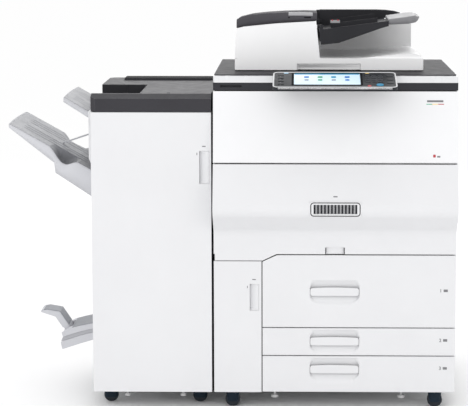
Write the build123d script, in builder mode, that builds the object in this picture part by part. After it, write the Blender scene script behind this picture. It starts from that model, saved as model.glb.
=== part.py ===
from build123d import *
import math
import os

# Colour photocopier: machine, scanner, document feeder, control panel and a docked finisher on its left.
# Millimetres, +X to the operator's right, +Y to the rear, +Z up, origin on the floor under the middle.
os.makedirs("parts", exist_ok=True)

# Driving dimensions
FRONT = -275.0
REAR = 425.0
LEFT = -48.5
RIGHT = 701.5
COVER_BOTTOM = 57.0
SKIN = 3.0
WRAP = 22.0
SEAM = 1.5
MIDDLE = (LEFT + RIGHT) / 2

TRAY_LEFT = 102.5
# Bottom, top and grip height of each tray front
TRAY_LEVELS = {
    "tray_3": (58.5, 172.5, 130.0),
    "tray_2": (175.5, 261.5, 219.0),
    "tray_1": (264.5, 490.5, 376.0),
}
# Where tray 1's top edge drops to meet the door beside it
TRAY_BEVEL = (147.0, 470.0)
GRIP_WIDTH = 151.0
GRIP_LEFT = MIDDLE - GRIP_WIDTH / 2
SCOOP_AXIS = 30.0
SCOOP_RADIUS = 48.0
SCOOP_WALL = 86.0
TUB_DEPTH = 490.0
TUB_LEFT = 121.0
TUB_RIGHT = 681.0

COVER_BASE = 495.5
COVER_TOP = 779.5
TONER_BASE = 782.5
TONER_TOP = 1001.5
BAND_BASE = 1004.5
BAND_TOP = 1028.0
SCANNER_TOP = 1048.0
PLATEN_TOP = 1051.0
LEAN = 30.0

FRONT_HINGE = (FRONT + 8, 504.0)
TONER_HINGE = (FRONT - 22, 790.0)
DOOR_HINGE = (LEFT + 8, FRONT + 8)
PIN_RADIUS = 2.1
RUNNING = 0.05
EAR = 5.0
ARM_GAP = 2.0

PANEL_LEFT = 136.0
PANEL_WIDTH = 373.0
PANEL_DEPTH = 148.0
PANEL_THICKNESS = 10.0
PANEL_FRONT = (FRONT - 150, 1027.4)
PANEL_RISE = 13.0
PANEL_HINGE = (FRONT - 20, 1023.0)

ADF_LEFT = 12.5
ADF_RIGHT = 605.0
ADF_FRONT = -120.0
ADF_REAR = 345.0
ADF_BASE = 1054.0
SLAB_TOP = 1091.0
ADF_HINGE = (352.0, 1062.0)
LID_HINGE = (22.0, 1192.0)
LID_PIN = 1.5
LID_LUGS = (-60.0, 250.0)
LUG = 10.0
TABLE_HINGE = (284.0, 1190.0)
TABLE_SLOPE = 7.3
TABLE_REAR = 230.0

FIN_LEFT = -426.5
FIN_RIGHT = -55.5
FIN_REAR = 338.0
FIN_TOP = 937.0
FIN_DOOR_HINGE = (FIN_LEFT + 8, FRONT + 8)
LEVER_HINGE = (-441.0, 840.0)
FENCE_HINGE = (-536.0, 196.0)
FIN_WHEEL_X = (-381.0, -97.5)
FIN_WHEEL_Y = (FRONT + 104, FIN_REAR - 90)
FORKS = {"left": 8.0, "right": 643.5}
CASTER_Y = FRONT + 55
REAR_WHEEL_Y = REAR - 70

CASTER_RADIUS = 23.5
FIN_CASTER_RADIUS = 23.0
AXLE = 4.0


def box(x0, x1, y0, y1, z0, z1, mode=Mode.ADD):
    """A box between two corners."""
    with Locations((x0, y0, z0)):
        Box(x1 - x0, y1 - y0, z1 - z0, align=(Align.MIN,) * 3, mode=mode)


def along_x(points, x0, x1, mode=Mode.ADD):
    """A bar along X with a straight-sided outline of (Y, Z) points."""
    with BuildSketch(Plane.YZ.offset(x0)) as outline:
        with BuildLine():
            Polyline(*points, close=True)
        make_face()
    extrude(outline.sketch, amount=x1 - x0, mode=mode)


def along_y(points, y0, y1, mode=Mode.ADD):
    """A bar along Y with a straight-sided outline of (X, Z) points."""
    with BuildSketch(Plane.XZ.offset(-y1)) as outline:
        with BuildLine():
            Polyline(*points, close=True)
        make_face()
    extrude(outline.sketch, amount=y1 - y0, mode=mode)


def rod(direction, start, length, radius, mode=Mode.ADD):
    """A round bar from its start point along X, Y or Z."""
    along = {"x": Plane.YZ, "y": Plane.XZ, "z": Plane.XY}[direction]
    sign = -1 if direction == "y" else 1
    with BuildSketch(Plane(start, x_dir=along.x_dir, z_dir=along.z_dir)) as disc:
        Circle(radius)
    extrude(disc.sketch, amount=sign * length, mode=mode)


def save(piece, name):
    """Labels a finished piece and writes it."""
    piece.part.label = name
    export_step(piece.part, f"parts/{name}.step")


# Base pan and inner frame
FRAME_FRONT = FRONT + 45
PLATE = 2.0

with BuildPart() as base_pan:
    box(LEFT + 5, RIGHT - 5, FRONT + 26, REAR - 5, COVER_BOTTOM, COVER_BOTTOM + 12)
    for x in FORKS.values():
        for dx in (-14, 11):
            box(x + dx, x + dx + 3, REAR_WHEEL_Y - 14, REAR_WHEEL_Y + 14, 16, COVER_BOTTOM + 1)
        rod("x", (x - 14, REAR_WHEEL_Y, CASTER_RADIUS), 28, AXLE - 1)
save(base_pan, "base_pan")

RAIL = 10.0
RAIL_REAR = FRAME_FRONT + TUB_DEPTH - 20
FRAME_BASE = COVER_BOTTOM + 12
FRAME_TOP = 1002.0
SHELVES = (475.5, 800.0)
with BuildPart() as inner_frame:
    for plate_x in (LEFT + 8, RIGHT - 10):
        box(plate_x, plate_x + PLATE, FRAME_FRONT, REAR - 14, FRAME_BASE, FRAME_TOP)
    box(LEFT + 10.5, RIGHT - 10.5, REAR - 14, REAR - 12, FRAME_BASE, FRAME_TOP)
    box(108, 110, FRAME_FRONT, FRAME_FRONT + TUB_DEPTH, FRAME_BASE, SHELVES[0] - 0.5)
    for shelf in SHELVES:
        box(LEFT + 10.5, RIGHT - 10.5, FRAME_FRONT, REAR - 14.5, shelf, shelf + PLATE)
    for low, high, _grip in TRAY_LEVELS.values():
        middle = (low + high) / 2
        for x0, x1 in ((110, TUB_LEFT - 0.8), (TUB_RIGHT + 0.8, RIGHT - 10)):
            box(x0, x1, FRAME_FRONT, RAIL_REAR, middle - RAIL, middle + RAIL)
save(inner_frame, "inner_frame")

# Side and rear covers, cut back beside the front cover's hinge
SIDE_FRONT = FRONT + WRAP + 2
CORNER_ROOM = 1.5
with BuildPart() as left_side_cover:
    box(LEFT, LEFT + SKIN, SIDE_FRONT, REAR - 3.5, COVER_BOTTOM, FRAME_TOP)
    box(LEFT, LEFT + SKIN, SIDE_FRONT, SIDE_FRONT + 9, 468, 502, mode=Mode.SUBTRACT)
    box(LEFT, LEFT + SKIN, SIDE_FRONT, SIDE_FRONT + CORNER_ROOM, 502, 514, mode=Mode.SUBTRACT)
save(left_side_cover, "left_side_cover")

with BuildPart() as right_side_cover:
    box(RIGHT - SKIN, RIGHT, SIDE_FRONT, REAR - 3.5, COVER_BOTTOM, FRAME_TOP)
    box(RIGHT - SKIN, RIGHT, SIDE_FRONT, SIDE_FRONT + CORNER_ROOM, 494, 514, mode=Mode.SUBTRACT)
    with BuildSketch(Plane.YZ.offset(RIGHT - SKIN)) as vents:
        with Locations((240, 620)):
            with GridLocations(0, 14, 1, 12):
                SlotOverall(150, 5)
    extrude(vents.sketch, amount=SKIN, mode=Mode.SUBTRACT)
save(right_side_cover, "right_side_cover")

with BuildPart() as rear_cover:
    box(LEFT, RIGHT, REAR - SKIN, REAR, COVER_BOTTOM, FRAME_TOP)
    with BuildSketch(Plane.XZ.offset(-REAR)) as rear_vents:
        with Locations((160, 820), (500, 820)):
            with GridLocations(0, 14, 1, 10):
                SlotOverall(170, 5)
    extrude(rear_vents.sketch, amount=SKIN, mode=Mode.SUBTRACT)
    box(40, 70, REAR - SKIN, REAR, 96, 120, mode=Mode.SUBTRACT)
    box(40, 70, REAR - 11, REAR, 96, 120)
    box(44, 66, REAR - 9, REAR, 100, 116, mode=Mode.SUBTRACT)
    for blade in (49, 55, 61):
        box(blade - 1, blade + 1, REAR - 9, REAR - 2, 105, 112)
save(rear_cover, "rear_cover")

# Panels behind the front covers
with BuildPart() as inner_front_cover:
    box(LEFT + 10.5, RIGHT - 10.5, FRONT + 42, FRONT + 44.8, 520, 776)
    box(10, 150, FRONT + 42, FRONT + 44.8, 590, 750, mode=Mode.SUBTRACT)
    box(240, 420, FRONT + 32, FRONT + 42, 560, 600)
    box(470, 640, FRONT + 34, FRONT + 42, 560, 740)
save(inner_front_cover, "inner_front_cover")

HINGE_BLOCKS = ((LEFT + 28.5, LEFT + 36.5), (RIGHT - 36.5, RIGHT - 28.5))
DOOR_ARMS = ((98, 106, -14), (430, 438, 14))
with BuildPart() as cover_hinges:
    for x0, x1 in HINGE_BLOCKS:
        outward = -1 if x0 < MIDDLE else 1
        pin_start = x1 if outward < 0 else x0
        for hinge_y, hinge_z in (FRONT_HINGE, TONER_HINGE):
            box(x0, x1, hinge_y - 1.2, FRAME_FRONT, hinge_z - 2.2, hinge_z + 6)
            rod("x", (pin_start, hinge_y, hinge_z), outward * 19, PIN_RADIUS)
    for z0, z1, reach in DOOR_ARMS:
        box(DOOR_HINGE[0] - 2, DOOR_HINGE[0] + 10, DOOR_HINGE[1] - 2.2, FRAME_FRONT, z0, z1)
        rod("z", (*DOOR_HINGE, z0 if reach < 0 else z1), reach, PIN_RADIUS)
save(cover_hinges, "cover_hinges")

# Toner cover, front cover and lower left door
with BuildPart() as toner_cover:
    along_x(
        [
            (FRONT - LEAN, TONER_BASE),
            (FRONT + WRAP, TONER_BASE),
            (FRONT + WRAP, TONER_TOP - 4),
            (FRONT, TONER_TOP),
        ],
        LEFT,
        RIGHT,
    )
    fillet(toner_cover.edges().filter_by(Axis.X).group_by(Axis.Y)[0], 6)
    along_x(
        [
            (FRONT - LEAN + SKIN + 0.8, TONER_BASE - 1),
            (FRONT + WRAP + 1, TONER_BASE - 1),
            (FRONT + WRAP + 1, TONER_TOP - SKIN - 3),
            (FRONT + SKIN, TONER_TOP - SKIN),
        ],
        LEFT + SKIN,
        RIGHT - SKIN,
        mode=Mode.SUBTRACT,
    )
    for x0, x1 in ((LEFT + 18.5, LEFT + 27.5), (RIGHT - 27.5, RIGHT - 18.5)):
        hinge_y, hinge_z = TONER_HINGE
        box(x0, x1, hinge_y - 5, hinge_y + EAR, hinge_z - EAR, hinge_z + EAR)
        rod("x", (x0 - 1, hinge_y, hinge_z), x1 - x0 + 2, PIN_RADIUS + RUNNING, mode=Mode.SUBTRACT)
save(toner_cover, "toner_cover")

# The front cover's outer face: upright at the bottom, then a bulge that is fullest at mid-height
BULGE = ((FRONT, 566), (FRONT - 79, 636), (FRONT - LEAN, COVER_TOP))
BULGE_RADII = (32.0, 42.0)
GRILLE = (249.0, 404.0, 624.0, 669.5)


def front_cover_section(x, hollow=False):
    """The front cover's (Y, Z) section at x, or the hollow behind its skin, open at the back and below."""
    with BuildSketch(Plane.YZ.offset(x)) as section:
        with BuildLine():
            FilletPolyline((FRONT, COVER_BASE), *BULGE, radius=BULGE_RADII)
            Polyline(BULGE[-1], (FRONT + WRAP, COVER_TOP), (FRONT + WRAP, COVER_BASE), (FRONT, COVER_BASE))
        make_face()
        if hollow:
            offset(amount=-SKIN, kind=Kind.INTERSECTION)
            with Locations((FRONT + SKIN, COVER_BASE - 1)):
                Rectangle(WRAP, COVER_TOP - SKIN - COVER_BASE + 1, align=(Align.MIN, Align.MIN))
    return section.sketch


with BuildPart() as front_cover:
    extrude(front_cover_section(LEFT), amount=RIGHT - LEFT)
    extrude(front_cover_section(LEFT + SKIN, hollow=True), amount=RIGHT - LEFT - 2 * SKIN, mode=Mode.SUBTRACT)
    along_y([(-45, 475), (103, 475), (146, COVER_BASE), (-45, COVER_BASE)], FRONT, FRONT + SKIN)
    box(GRILLE[0], GRILLE[1], FRONT - 85, FRONT + 10, GRILLE[2], GRILLE[3], mode=Mode.SUBTRACT)
    box(295, 359, FRONT, FRONT + 8, COVER_BASE, 519.5)
    box(297, 357, FRONT - 1, FRONT + 5.5, COVER_BASE - 1, 517.5, mode=Mode.SUBTRACT)
    for x0, x1 in ((LEFT + 18.5, LEFT + 27.5), (RIGHT - 27.5, RIGHT - 18.5)):
        hinge_y, hinge_z = FRONT_HINGE
        box(x0, x1, hinge_y - 5.5, hinge_y + EAR, hinge_z - EAR, hinge_z + EAR)
        rod("x", (x0 - 1, hinge_y, hinge_z), x1 - x0 + 2, PIN_RADIUS + RUNNING, mode=Mode.SUBTRACT)
save(front_cover, "front_cover")

SLITS = 13
with BuildPart() as vent_grille:
    box(GRILLE[0] + 0.4, GRILLE[1] - 0.4, FRONT - 70, FRONT - 62, GRILLE[2] + 0.4, GRILLE[3] - 0.4)
    fillet(vent_grille.edges().filter_by(Axis.Y), 6)
    with BuildSketch(Plane.XZ.offset(-(FRONT - 71))) as slits:
        with Locations(((GRILLE[0] + GRILLE[1]) / 2, (GRILLE[2] + GRILLE[3]) / 2)):
            with GridLocations(10.6, 0, SLITS, 1):
                Rectangle(6, 29)
    extrude(slits.sketch, amount=-10, mode=Mode.SUBTRACT)
save(vent_grille, "vent_grille")

DOOR_RIGHT = 99.5
DOOR_TOP = 472.5
with BuildPart() as lower_left_door:
    box(LEFT, DOOR_RIGHT, FRONT, FRONT + WRAP, COVER_BOTTOM, DOOR_TOP)
    box(LEFT + SKIN, DOOR_RIGHT - SKIN, FRONT + SKIN, FRONT + WRAP, COVER_BOTTOM + SKIN, DOOR_TOP - SKIN,
        mode=Mode.SUBTRACT)
    fillet(lower_left_door.edges().filter_by(Axis.Z).sort_by(Axis.X)[0], 2.5)
    box(59, DOOR_RIGHT - SKIN, FRONT + SKIN, FRONT + 20, 313, 405)
    box(63, 91.5, FRONT - 1, FRONT + 16, 317, 401, mode=Mode.SUBTRACT)
    door_x, door_y = DOOR_HINGE
    for z0, z1 in ((86, 97), (439, 450)):
        box(door_x - EAR, door_x + EAR, door_y - EAR, door_y + EAR, z0, z1)
        rod("z", (door_x, door_y, z0 - 1), z1 - z0 + 2, PIN_RADIUS + RUNNING, mode=Mode.SUBTRACT)
    for z0, z1 in ((97, 106 + ARM_GAP), (430 - ARM_GAP, 439)):
        box(LEFT - 1, LEFT + SKIN, FRONT + 4, FRONT + WRAP + 1, z0, z1, mode=Mode.SUBTRACT)
save(lower_left_door, "lower_left_door")

# Paper trays: a hollow front with a dished grip, and a tub behind it
TUB_FRONT = FRONT + WRAP
TUB_REAR = TUB_FRONT + TUB_DEPTH
ONE_BAY = ((TUB_LEFT + SKIN, TUB_RIGHT - SKIN),)
TWO_BAYS = ((TUB_LEFT + SKIN, 399.5), (402.5, TUB_RIGHT - SKIN))
for tray, (low, high, grip) in TRAY_LEVELS.items():
    with BuildPart() as tray_front:
        if tray == "tray_1":
            bevel = [(TRAY_BEVEL[0], high), (TRAY_LEFT, TRAY_BEVEL[1])]
            along_y([(TRAY_LEFT, low), (RIGHT, low), (RIGHT, high), *bevel], FRONT, FRONT + WRAP)
        else:
            box(TRAY_LEFT, RIGHT, FRONT, FRONT + WRAP, low, high)
        hollow = (FRONT + SKIN, FRONT + WRAP - 2, low + SKIN)
        box(TRAY_LEFT + 6, MIDDLE - SCOOP_WALL, *hollow, min(high, TRAY_BEVEL[1]) - SKIN, mode=Mode.SUBTRACT)
        box(MIDDLE + SCOOP_WALL, RIGHT - SKIN, *hollow, high - SKIN, mode=Mode.SUBTRACT)
        scoop_start = (GRIP_LEFT, FRONT - SCOOP_AXIS, grip)
        rod("x", scoop_start, GRIP_WIDTH, SCOOP_RADIUS, mode=Mode.SUBTRACT)
        box(GRIP_LEFT - 2, GRIP_LEFT + GRIP_WIDTH + 2, FRONT, FRONT + 4, grip - 14, grip + 14)
    save(tray_front, f"{tray}_front")

    tub_top = min(high, TRAY_BEVEL[1]) - 12
    with BuildPart() as tub:
        box(TUB_LEFT, TUB_RIGHT, TUB_FRONT, TUB_REAR, low + 17, tub_top)
        for x0, x1 in TWO_BAYS if tray == "tray_1" else ONE_BAY:
            box(x0, x1, TUB_FRONT + SKIN, TUB_REAR - SKIN, low + 17 + SKIN, tub_top + 1, mode=Mode.SUBTRACT)
    save(tub, f"{tray}_tub")

# Toner bottles in a row behind the toner cover
BOTTLE_RADIUS = 45.0
BOTTLE_FRONT = FRONT + 50
BOTTLE_Z = 880.0
for place, toner in enumerate(("yellow", "magenta", "cyan", "black")):
    bottle_x = MIDDLE + (place - 1.5) * 150
    with BuildPart() as bottle:
        rod("y", (bottle_x, BOTTLE_FRONT, BOTTLE_Z), 340, BOTTLE_RADIUS)
        fillet(bottle.edges().filter_by(GeomType.CIRCLE), 6)
        rod("y", (bottle_x, BOTTLE_FRONT - 12, BOTTLE_Z), 14, 24)
        box(bottle_x - 4, bottle_x + 4, BOTTLE_FRONT - 18, BOTTLE_FRONT - 10, BOTTLE_Z - 20, BOTTLE_Z + 20)
    save(bottle, f"toner_bottle_{toner}")

# Fusing rollers, side by side on axles that run front to rear
FUSER = (70.0, 700.0, 24.0)
PRESSURE = (70.0, 650.0, 23.6)
for name, (x, z, radius) in (("fusing_roller", FUSER), ("pressure_roller", PRESSURE)):
    with BuildPart() as roller:
        rod("y", (x, FRONT + 60, z), 330, radius)
        rod("y", (x, FRONT + 52, z), 346, 8)
    save(roller, name)

# Scanner housing, front band, platen
SCANNER_REAR = 410.0
with BuildPart() as scanner_housing:
    box(LEFT, RIGHT, FRONT, SCANNER_REAR, BAND_TOP, SCANNER_TOP)
    box(LEFT, RIGHT, SIDE_FRONT, SCANNER_REAR, BAND_BASE, BAND_TOP)
    fillet(scanner_housing.edges().filter_by(Axis.Z).sort_by(Axis.Y)[:2], 8)
    box(LEFT + 4, RIGHT - 4, SIDE_FRONT + 4, 350, BAND_BASE + 4, SCANNER_TOP, mode=Mode.SUBTRACT)
save(scanner_housing, "scanner_housing")

with BuildPart() as front_band:
    box(LEFT, RIGHT, FRONT + 1, SIDE_FRONT, BAND_BASE, BAND_TOP - 0.3)
    box(LEFT + SKIN, RIGHT - SKIN, FRONT + 12, SIDE_FRONT + 1, BAND_BASE + SKIN, BAND_TOP - SKIN,
        mode=Mode.SUBTRACT)
    box(-27, 39, FRONT, FRONT + 9, 1013, 1021, mode=Mode.SUBTRACT)
    box(285, 365, FRONT - 26, FRONT + 2, PANEL_HINGE[1] - 10.5, PANEL_HINGE[1] + 4.5)
    rod("x", (270, *PANEL_HINGE), 110, AXLE)
save(front_band, "front_band")

GLASS = (150.0, 582.0, -95.0, 205.0)
SLIT = (104.0, 130.0, -95.0, 205.0)
with BuildPart() as platen_frame:
    box(LEFT + 2, RIGHT - 4, FRONT + 21, 362, SCANNER_TOP, PLATEN_TOP)
    fillet(platen_frame.edges().filter_by(Axis.Z), 10)
    for x0, x1, y0, y1 in (GLASS, SLIT):
        box(x0, x1, y0, y1, SCANNER_TOP, PLATEN_TOP, mode=Mode.SUBTRACT)
    for x0, x1, reach in ((100, 140, -10), (480, 520, 10)):
        box(x0, x1, ADF_HINGE[0] - 8, 362, SCANNER_TOP, ADF_HINGE[1] + 8)
        rod("x", (x0 if reach < 0 else x1, *ADF_HINGE), reach, AXLE)
save(platen_frame, "platen_frame")

with BuildPart() as platen_glass:
    for x0, x1, y0, y1 in (GLASS, SLIT):
        box(x0, x1, y0, y1, SCANNER_TOP - 0.2, PLATEN_TOP - 0.4)
save(platen_glass, "platen_glass")

with BuildPart() as scanner_carriage:
    box(30, 84, -215, 330, 1010, 1040)
    box(50, 64, -120, 230, 1034, 1040, mode=Mode.SUBTRACT)
save(scanner_carriage, "scanner_carriage")

# Control panel: a wedge that tilts on a pin in its bracket
panel_top = Plane(
    origin=(PANEL_LEFT + PANEL_WIDTH / 2, PANEL_FRONT[0], PANEL_FRONT[1]),
    x_dir=(1, 0, 0),
    z_dir=(0, -math.sin(math.radians(PANEL_RISE)), math.cos(math.radians(PANEL_RISE))),
)
PANEL_X = PANEL_LEFT + PANEL_WIDTH / 2
SCREEN = (299.5 - PANEL_X, 80.0, 206.0, 112.0)
KEY_HOLES = {"start_key": (457.0, 25.0, 11.0), "stop_key": (425.0, 14.0, 6.0)}
NUMBER_KEYS = (441.0 - PANEL_X, 82.0)
FUNCTION_KEYS = (489.0 - PANEL_X, 75.0)
LEFT_KEYS = (160.0 - PANEL_X, 75.0)
KEY_TRAVEL = 1.5
with BuildPart() as control_panel:
    with BuildSketch(panel_top) as panel_outline:
        with Locations((0, PANEL_DEPTH / 2)):
            RectangleRounded(PANEL_WIDTH, PANEL_DEPTH, 14)
    extrude(panel_outline.sketch, amount=-PANEL_THICKNESS)
    along_x(
        [
            (FRONT - 120, PANEL_HINGE[1] + 6),
            (FRONT - 8, PANEL_HINGE[1] + 10),
            (FRONT - 8, PANEL_HINGE[1] + 28),
            (FRONT - 120, PANEL_HINGE[1] + 6.5),
        ],
        PANEL_LEFT + 14,
        PANEL_LEFT + PANEL_WIDTH - 14,
    )
    for x0, x1 in ((270, 284), (366, 380)):
        box(x0, x1, PANEL_HINGE[0] - 8, PANEL_HINGE[0] + 8, PANEL_HINGE[1] - 8, PANEL_HINGE[1] + 18)
        rod("x", (x0 - 1, *PANEL_HINGE), x1 - x0 + 2, AXLE + RUNNING, mode=Mode.SUBTRACT)
    with BuildSketch(panel_top) as wells:
        with Locations(SCREEN[:2]):
            RectangleRounded(SCREEN[2], SCREEN[3], 3)
        for x, y, radius in KEY_HOLES.values():
            with Locations((x - PANEL_X, y)):
                Circle(radius + 0.5)
        with Locations(NUMBER_KEYS):
            Rectangle(57, 69)
    extrude(wells.sketch, amount=-4, mode=Mode.SUBTRACT)
    with BuildSketch(panel_top) as fixed_keys:
        with Locations(FUNCTION_KEYS):
            with GridLocations(0, 33, 1, 3):
                RectangleRounded(20, 11, 4)
        with Locations(LEFT_KEYS):
            with GridLocations(0, 28, 1, 4):
                RectangleRounded(18, 12, 4)
    extrude(fixed_keys.sketch, amount=1.2)
save(control_panel, "control_panel")

with BuildPart() as touch_screen:
    with BuildSketch(panel_top.offset(-4)) as screen:
        with Locations(SCREEN[:2]):
            RectangleRounded(SCREEN[2] - 1, SCREEN[3] - 1, 3)
    extrude(screen.sketch, amount=3.5)
save(touch_screen, "touch_screen")

for name, (x, y, radius) in KEY_HOLES.items():
    with BuildPart() as key:
        with BuildSketch(panel_top.offset(-2)) as cap:
            with Locations((x - PANEL_X, y)):
                Circle(radius)
        extrude(cap.sketch, amount=3.5)
        fillet(key.edges().filter_by(GeomType.CIRCLE).sort_by(Axis.Z)[-1], 1)
    save(key, name)

with BuildPart() as number_keys:
    with BuildSketch(panel_top.offset(-2)) as mat:
        with Locations(NUMBER_KEYS):
            Rectangle(56, 68)
    extrude(mat.sketch, amount=1)
    with BuildSketch(panel_top.offset(-1)) as digits:
        with Locations(NUMBER_KEYS):
            with GridLocations(19, 17, 3, 4):
                RectangleRounded(14, 11, 3)
    extrude(digits.sketch, amount=2.4)
save(number_keys, "number_keys")

# Document feeder: base, left housing, rear wall, lid and table
EXIT_RISE = ((392, SLAB_TOP), (430, 1093), (480, 1098.5), (530, 1103.5), (560, 1105))
EXIT_FALL = ((580, 1104), (592, 1100.5), (600, 1093))
with BuildPart() as adf_base:
    box(ADF_LEFT, ADF_RIGHT, ADF_FRONT, ADF_REAR, ADF_BASE, SLAB_TOP)
    fillet(adf_base.edges().filter_by(Axis.Z), 12)
    with BuildSketch(Plane.XZ.offset(-235)) as hump:
        with BuildLine():
            Spline(*EXIT_RISE, *EXIT_FALL)
            Polyline(EXIT_FALL[-1], (600, 1088), (392, 1088), EXIT_RISE[0])
        make_face()
    extrude(hump.sketch, amount=350)
    box(208, 408, ADF_FRONT - 1, ADF_FRONT + 24, ADF_BASE - 1, 1074, mode=Mode.SUBTRACT)
    for x0, x1 in ((88, 152), (468, 532)):
        box(x0, x1, 325, ADF_REAR + 1, ADF_BASE - 1, SLAB_TOP + 1, mode=Mode.SUBTRACT)
    for x0, x1 in ((88, 99), (521, 532)):
        box(x0, x1, 325, ADF_HINGE[0] + 7, ADF_BASE + 1, ADF_HINGE[1] + 9)
        rod("x", (x0 - 1, *ADF_HINGE), x1 - x0 + 2, AXLE + RUNNING, mode=Mode.SUBTRACT)
    box(GLASS[0] - 2, GLASS[1] + 2, GLASS[2] + 2, GLASS[3] + 2, ADF_BASE - 2, ADF_BASE)
save(adf_base, "adf_base")

HOUSING = ((ADF_LEFT, SLAB_TOP), (280, SLAB_TOP), (268, 1207.5), (140, 1200), (40, 1190), (17.5, 1184))
with BuildPart() as adf_housing:
    along_y(HOUSING, ADF_FRONT, ADF_REAR - 5)
    box(ADF_LEFT + 14, 262, ADF_FRONT + 4, ADF_REAR - 9, SLAB_TOP + 3, 1215, mode=Mode.SUBTRACT)
    box(250, 285, ADF_FRONT + 12, TABLE_REAR, 1142, 1172, mode=Mode.SUBTRACT)
    for y in LID_LUGS:
        box(LID_HINGE[0] - 3, LID_HINGE[0] + 3, y, y + LUG, LID_HINGE[1] - 9, LID_HINGE[1])
        rod("y", (LID_HINGE[0], y, LID_HINGE[1]), LUG, 3)
        rod("y", (LID_HINGE[0], y - 5, LID_HINGE[1]), LUG + 10, LID_PIN)
    for y, pin_y in ((ADF_FRONT + 6.6, ADF_FRONT + 1.5), (TABLE_REAR - 10, TABLE_REAR - 5)):
        box(262, TABLE_HINGE[0], y, y + 9.4, TABLE_HINGE[1] - EAR, TABLE_HINGE[1] + EAR)
        rod("y", (TABLE_HINGE[0], y, TABLE_HINGE[1]), 9.4, EAR)
        rod("y", (TABLE_HINGE[0], pin_y, TABLE_HINGE[1]), 13, PIN_RADIUS)
save(adf_housing, "adf_housing")

ROLLER_X = 210.0
ROLLER_Z = 1165.0
with BuildPart() as adf_feed_roller:
    rod("y", (ROLLER_X, ADF_FRONT + 5, ROLLER_Z), ADF_REAR - ADF_FRONT - 16, AXLE)
    for y in (20, 80, 140):
        rod("y", (ROLLER_X, y, ROLLER_Z), 36, 16)
save(adf_feed_roller, "adf_feed_roller")

LID_UNDERSIDE = ((20, 1187), (40, 1192), (140, 1202), (268, 1210), (271, 1212))
LID_CROWN = ((271, 1224), (240, 1228.5), (170, 1230), (90, 1227.5), (34, 1218), (20, 1202))
LID_HOLLOW = ((40, 1190), (140, 1200), (262, 1208), (262, 1220), (170, 1225), (60, 1216))
with BuildPart() as adf_feed_cover:
    along_y([*LID_UNDERSIDE, *LID_CROWN], ADF_FRONT, ADF_REAR - 5)
    along_y(LID_HOLLOW, ADF_FRONT + 4, ADF_REAR - 9, mode=Mode.SUBTRACT)
    for y in LID_LUGS:
        rod("y", (LID_HINGE[0], y - 7, LID_HINGE[1]), LUG + 14, 3.6)
        rod("y", (LID_HINGE[0], y - 0.6, LID_HINGE[1]), LUG + 1.2, 6.2, mode=Mode.SUBTRACT)
        rod("y", (LID_HINGE[0], y - 8, LID_HINGE[1]), LUG + 16, LID_PIN + RUNNING, mode=Mode.SUBTRACT)
save(adf_feed_cover, "adf_feed_cover")

WALL_BASE = SLAB_TOP + 0.4
with BuildPart() as adf_rear_wall:
    along_y([(281, WALL_BASE), (588, WALL_BASE), (588, 1212), (400, 1170), (281, 1152)], 262, ADF_REAR - 5)
save(adf_rear_wall, "adf_rear_wall")

# The document table lifts at its right end, on two pins on the housing
table_start = Plane(
    origin=(279, 0, 1181),
    x_dir=(math.cos(math.radians(TABLE_SLOPE)), 0, math.sin(math.radians(TABLE_SLOPE))),
    z_dir=(-math.sin(math.radians(TABLE_SLOPE)), 0, math.cos(math.radians(TABLE_SLOPE))),
)
SLIDES = (-20.0, 140.0)
with BuildPart() as document_table:
    along_y([(279, 1172), (495, 1199.5), (495, 1192), (473, 1186), (339, 1150), (279, 1143)], ADF_FRONT, 230)
    along_y([(279, 1181), (495, 1208.5), (495, 1192), (473, 1186), (339, 1139), (283, 1133)], ADF_FRONT,
            ADF_FRONT + 6)
    along_y([(279, 1150), (279, 1212), (282.5, 1226), (474, 1226), (528, 1217), (528, 1203), (339, 1176)],
            TABLE_REAR, 262)
    box(279, 290, ADF_FRONT, ADF_FRONT + 6, 1172, TABLE_HINGE[1])
    rod("y", (TABLE_HINGE[0], ADF_FRONT, TABLE_HINGE[1]), 6, 6.5)
    for y in (ADF_FRONT - 1, TABLE_REAR - 1):
        rod("y", (TABLE_HINGE[0], y, TABLE_HINGE[1]), 12, PIN_RADIUS + RUNNING, mode=Mode.SUBTRACT)
    with BuildSketch(table_start.offset(-17)) as channels:
        for y in SLIDES:
            with Locations((160, y)):
                Rectangle(124, 11.4)
    extrude(channels.sketch, amount=7, mode=Mode.SUBTRACT)
save(document_table, "document_table")

with BuildPart() as table_extension:
    with BuildSketch(table_start.offset(-10)) as tongue:
        with Locations((270, 62)):
            RectangleRounded(98, 256, 45)
    extrude(tongue.sketch, amount=7)
    with BuildSketch(table_start.offset(-16.4)) as arms:
        for y in SLIDES:
            with Locations((165, y)):
                Rectangle(120, 10)
        with Locations((223, 60)):
            Rectangle(6, 180)
    extrude(arms.sketch, amount=5.8)
    with BuildSketch(table_start.offset(-16.4)) as step:
        with Locations((224, 60)):
            Rectangle(6, 180)
    extrude(step.sketch, amount=10)
save(table_extension, "table_extension")

for name, y, side in (("front_guide", -55, -1), ("rear_guide", 150, 1)):
    with BuildPart() as guide:
        with BuildSketch(table_start.offset(-8.2)) as foot:
            with Locations((110, y)):
                Rectangle(150, 40)
        extrude(foot.sketch, amount=2)
        with BuildSketch(table_start.offset(-8.2)) as fence:
            with Locations((110, y + side * 19)):
                Rectangle(150, 3)
        extrude(fence.sketch, amount=20)
    save(guide, name)

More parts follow.
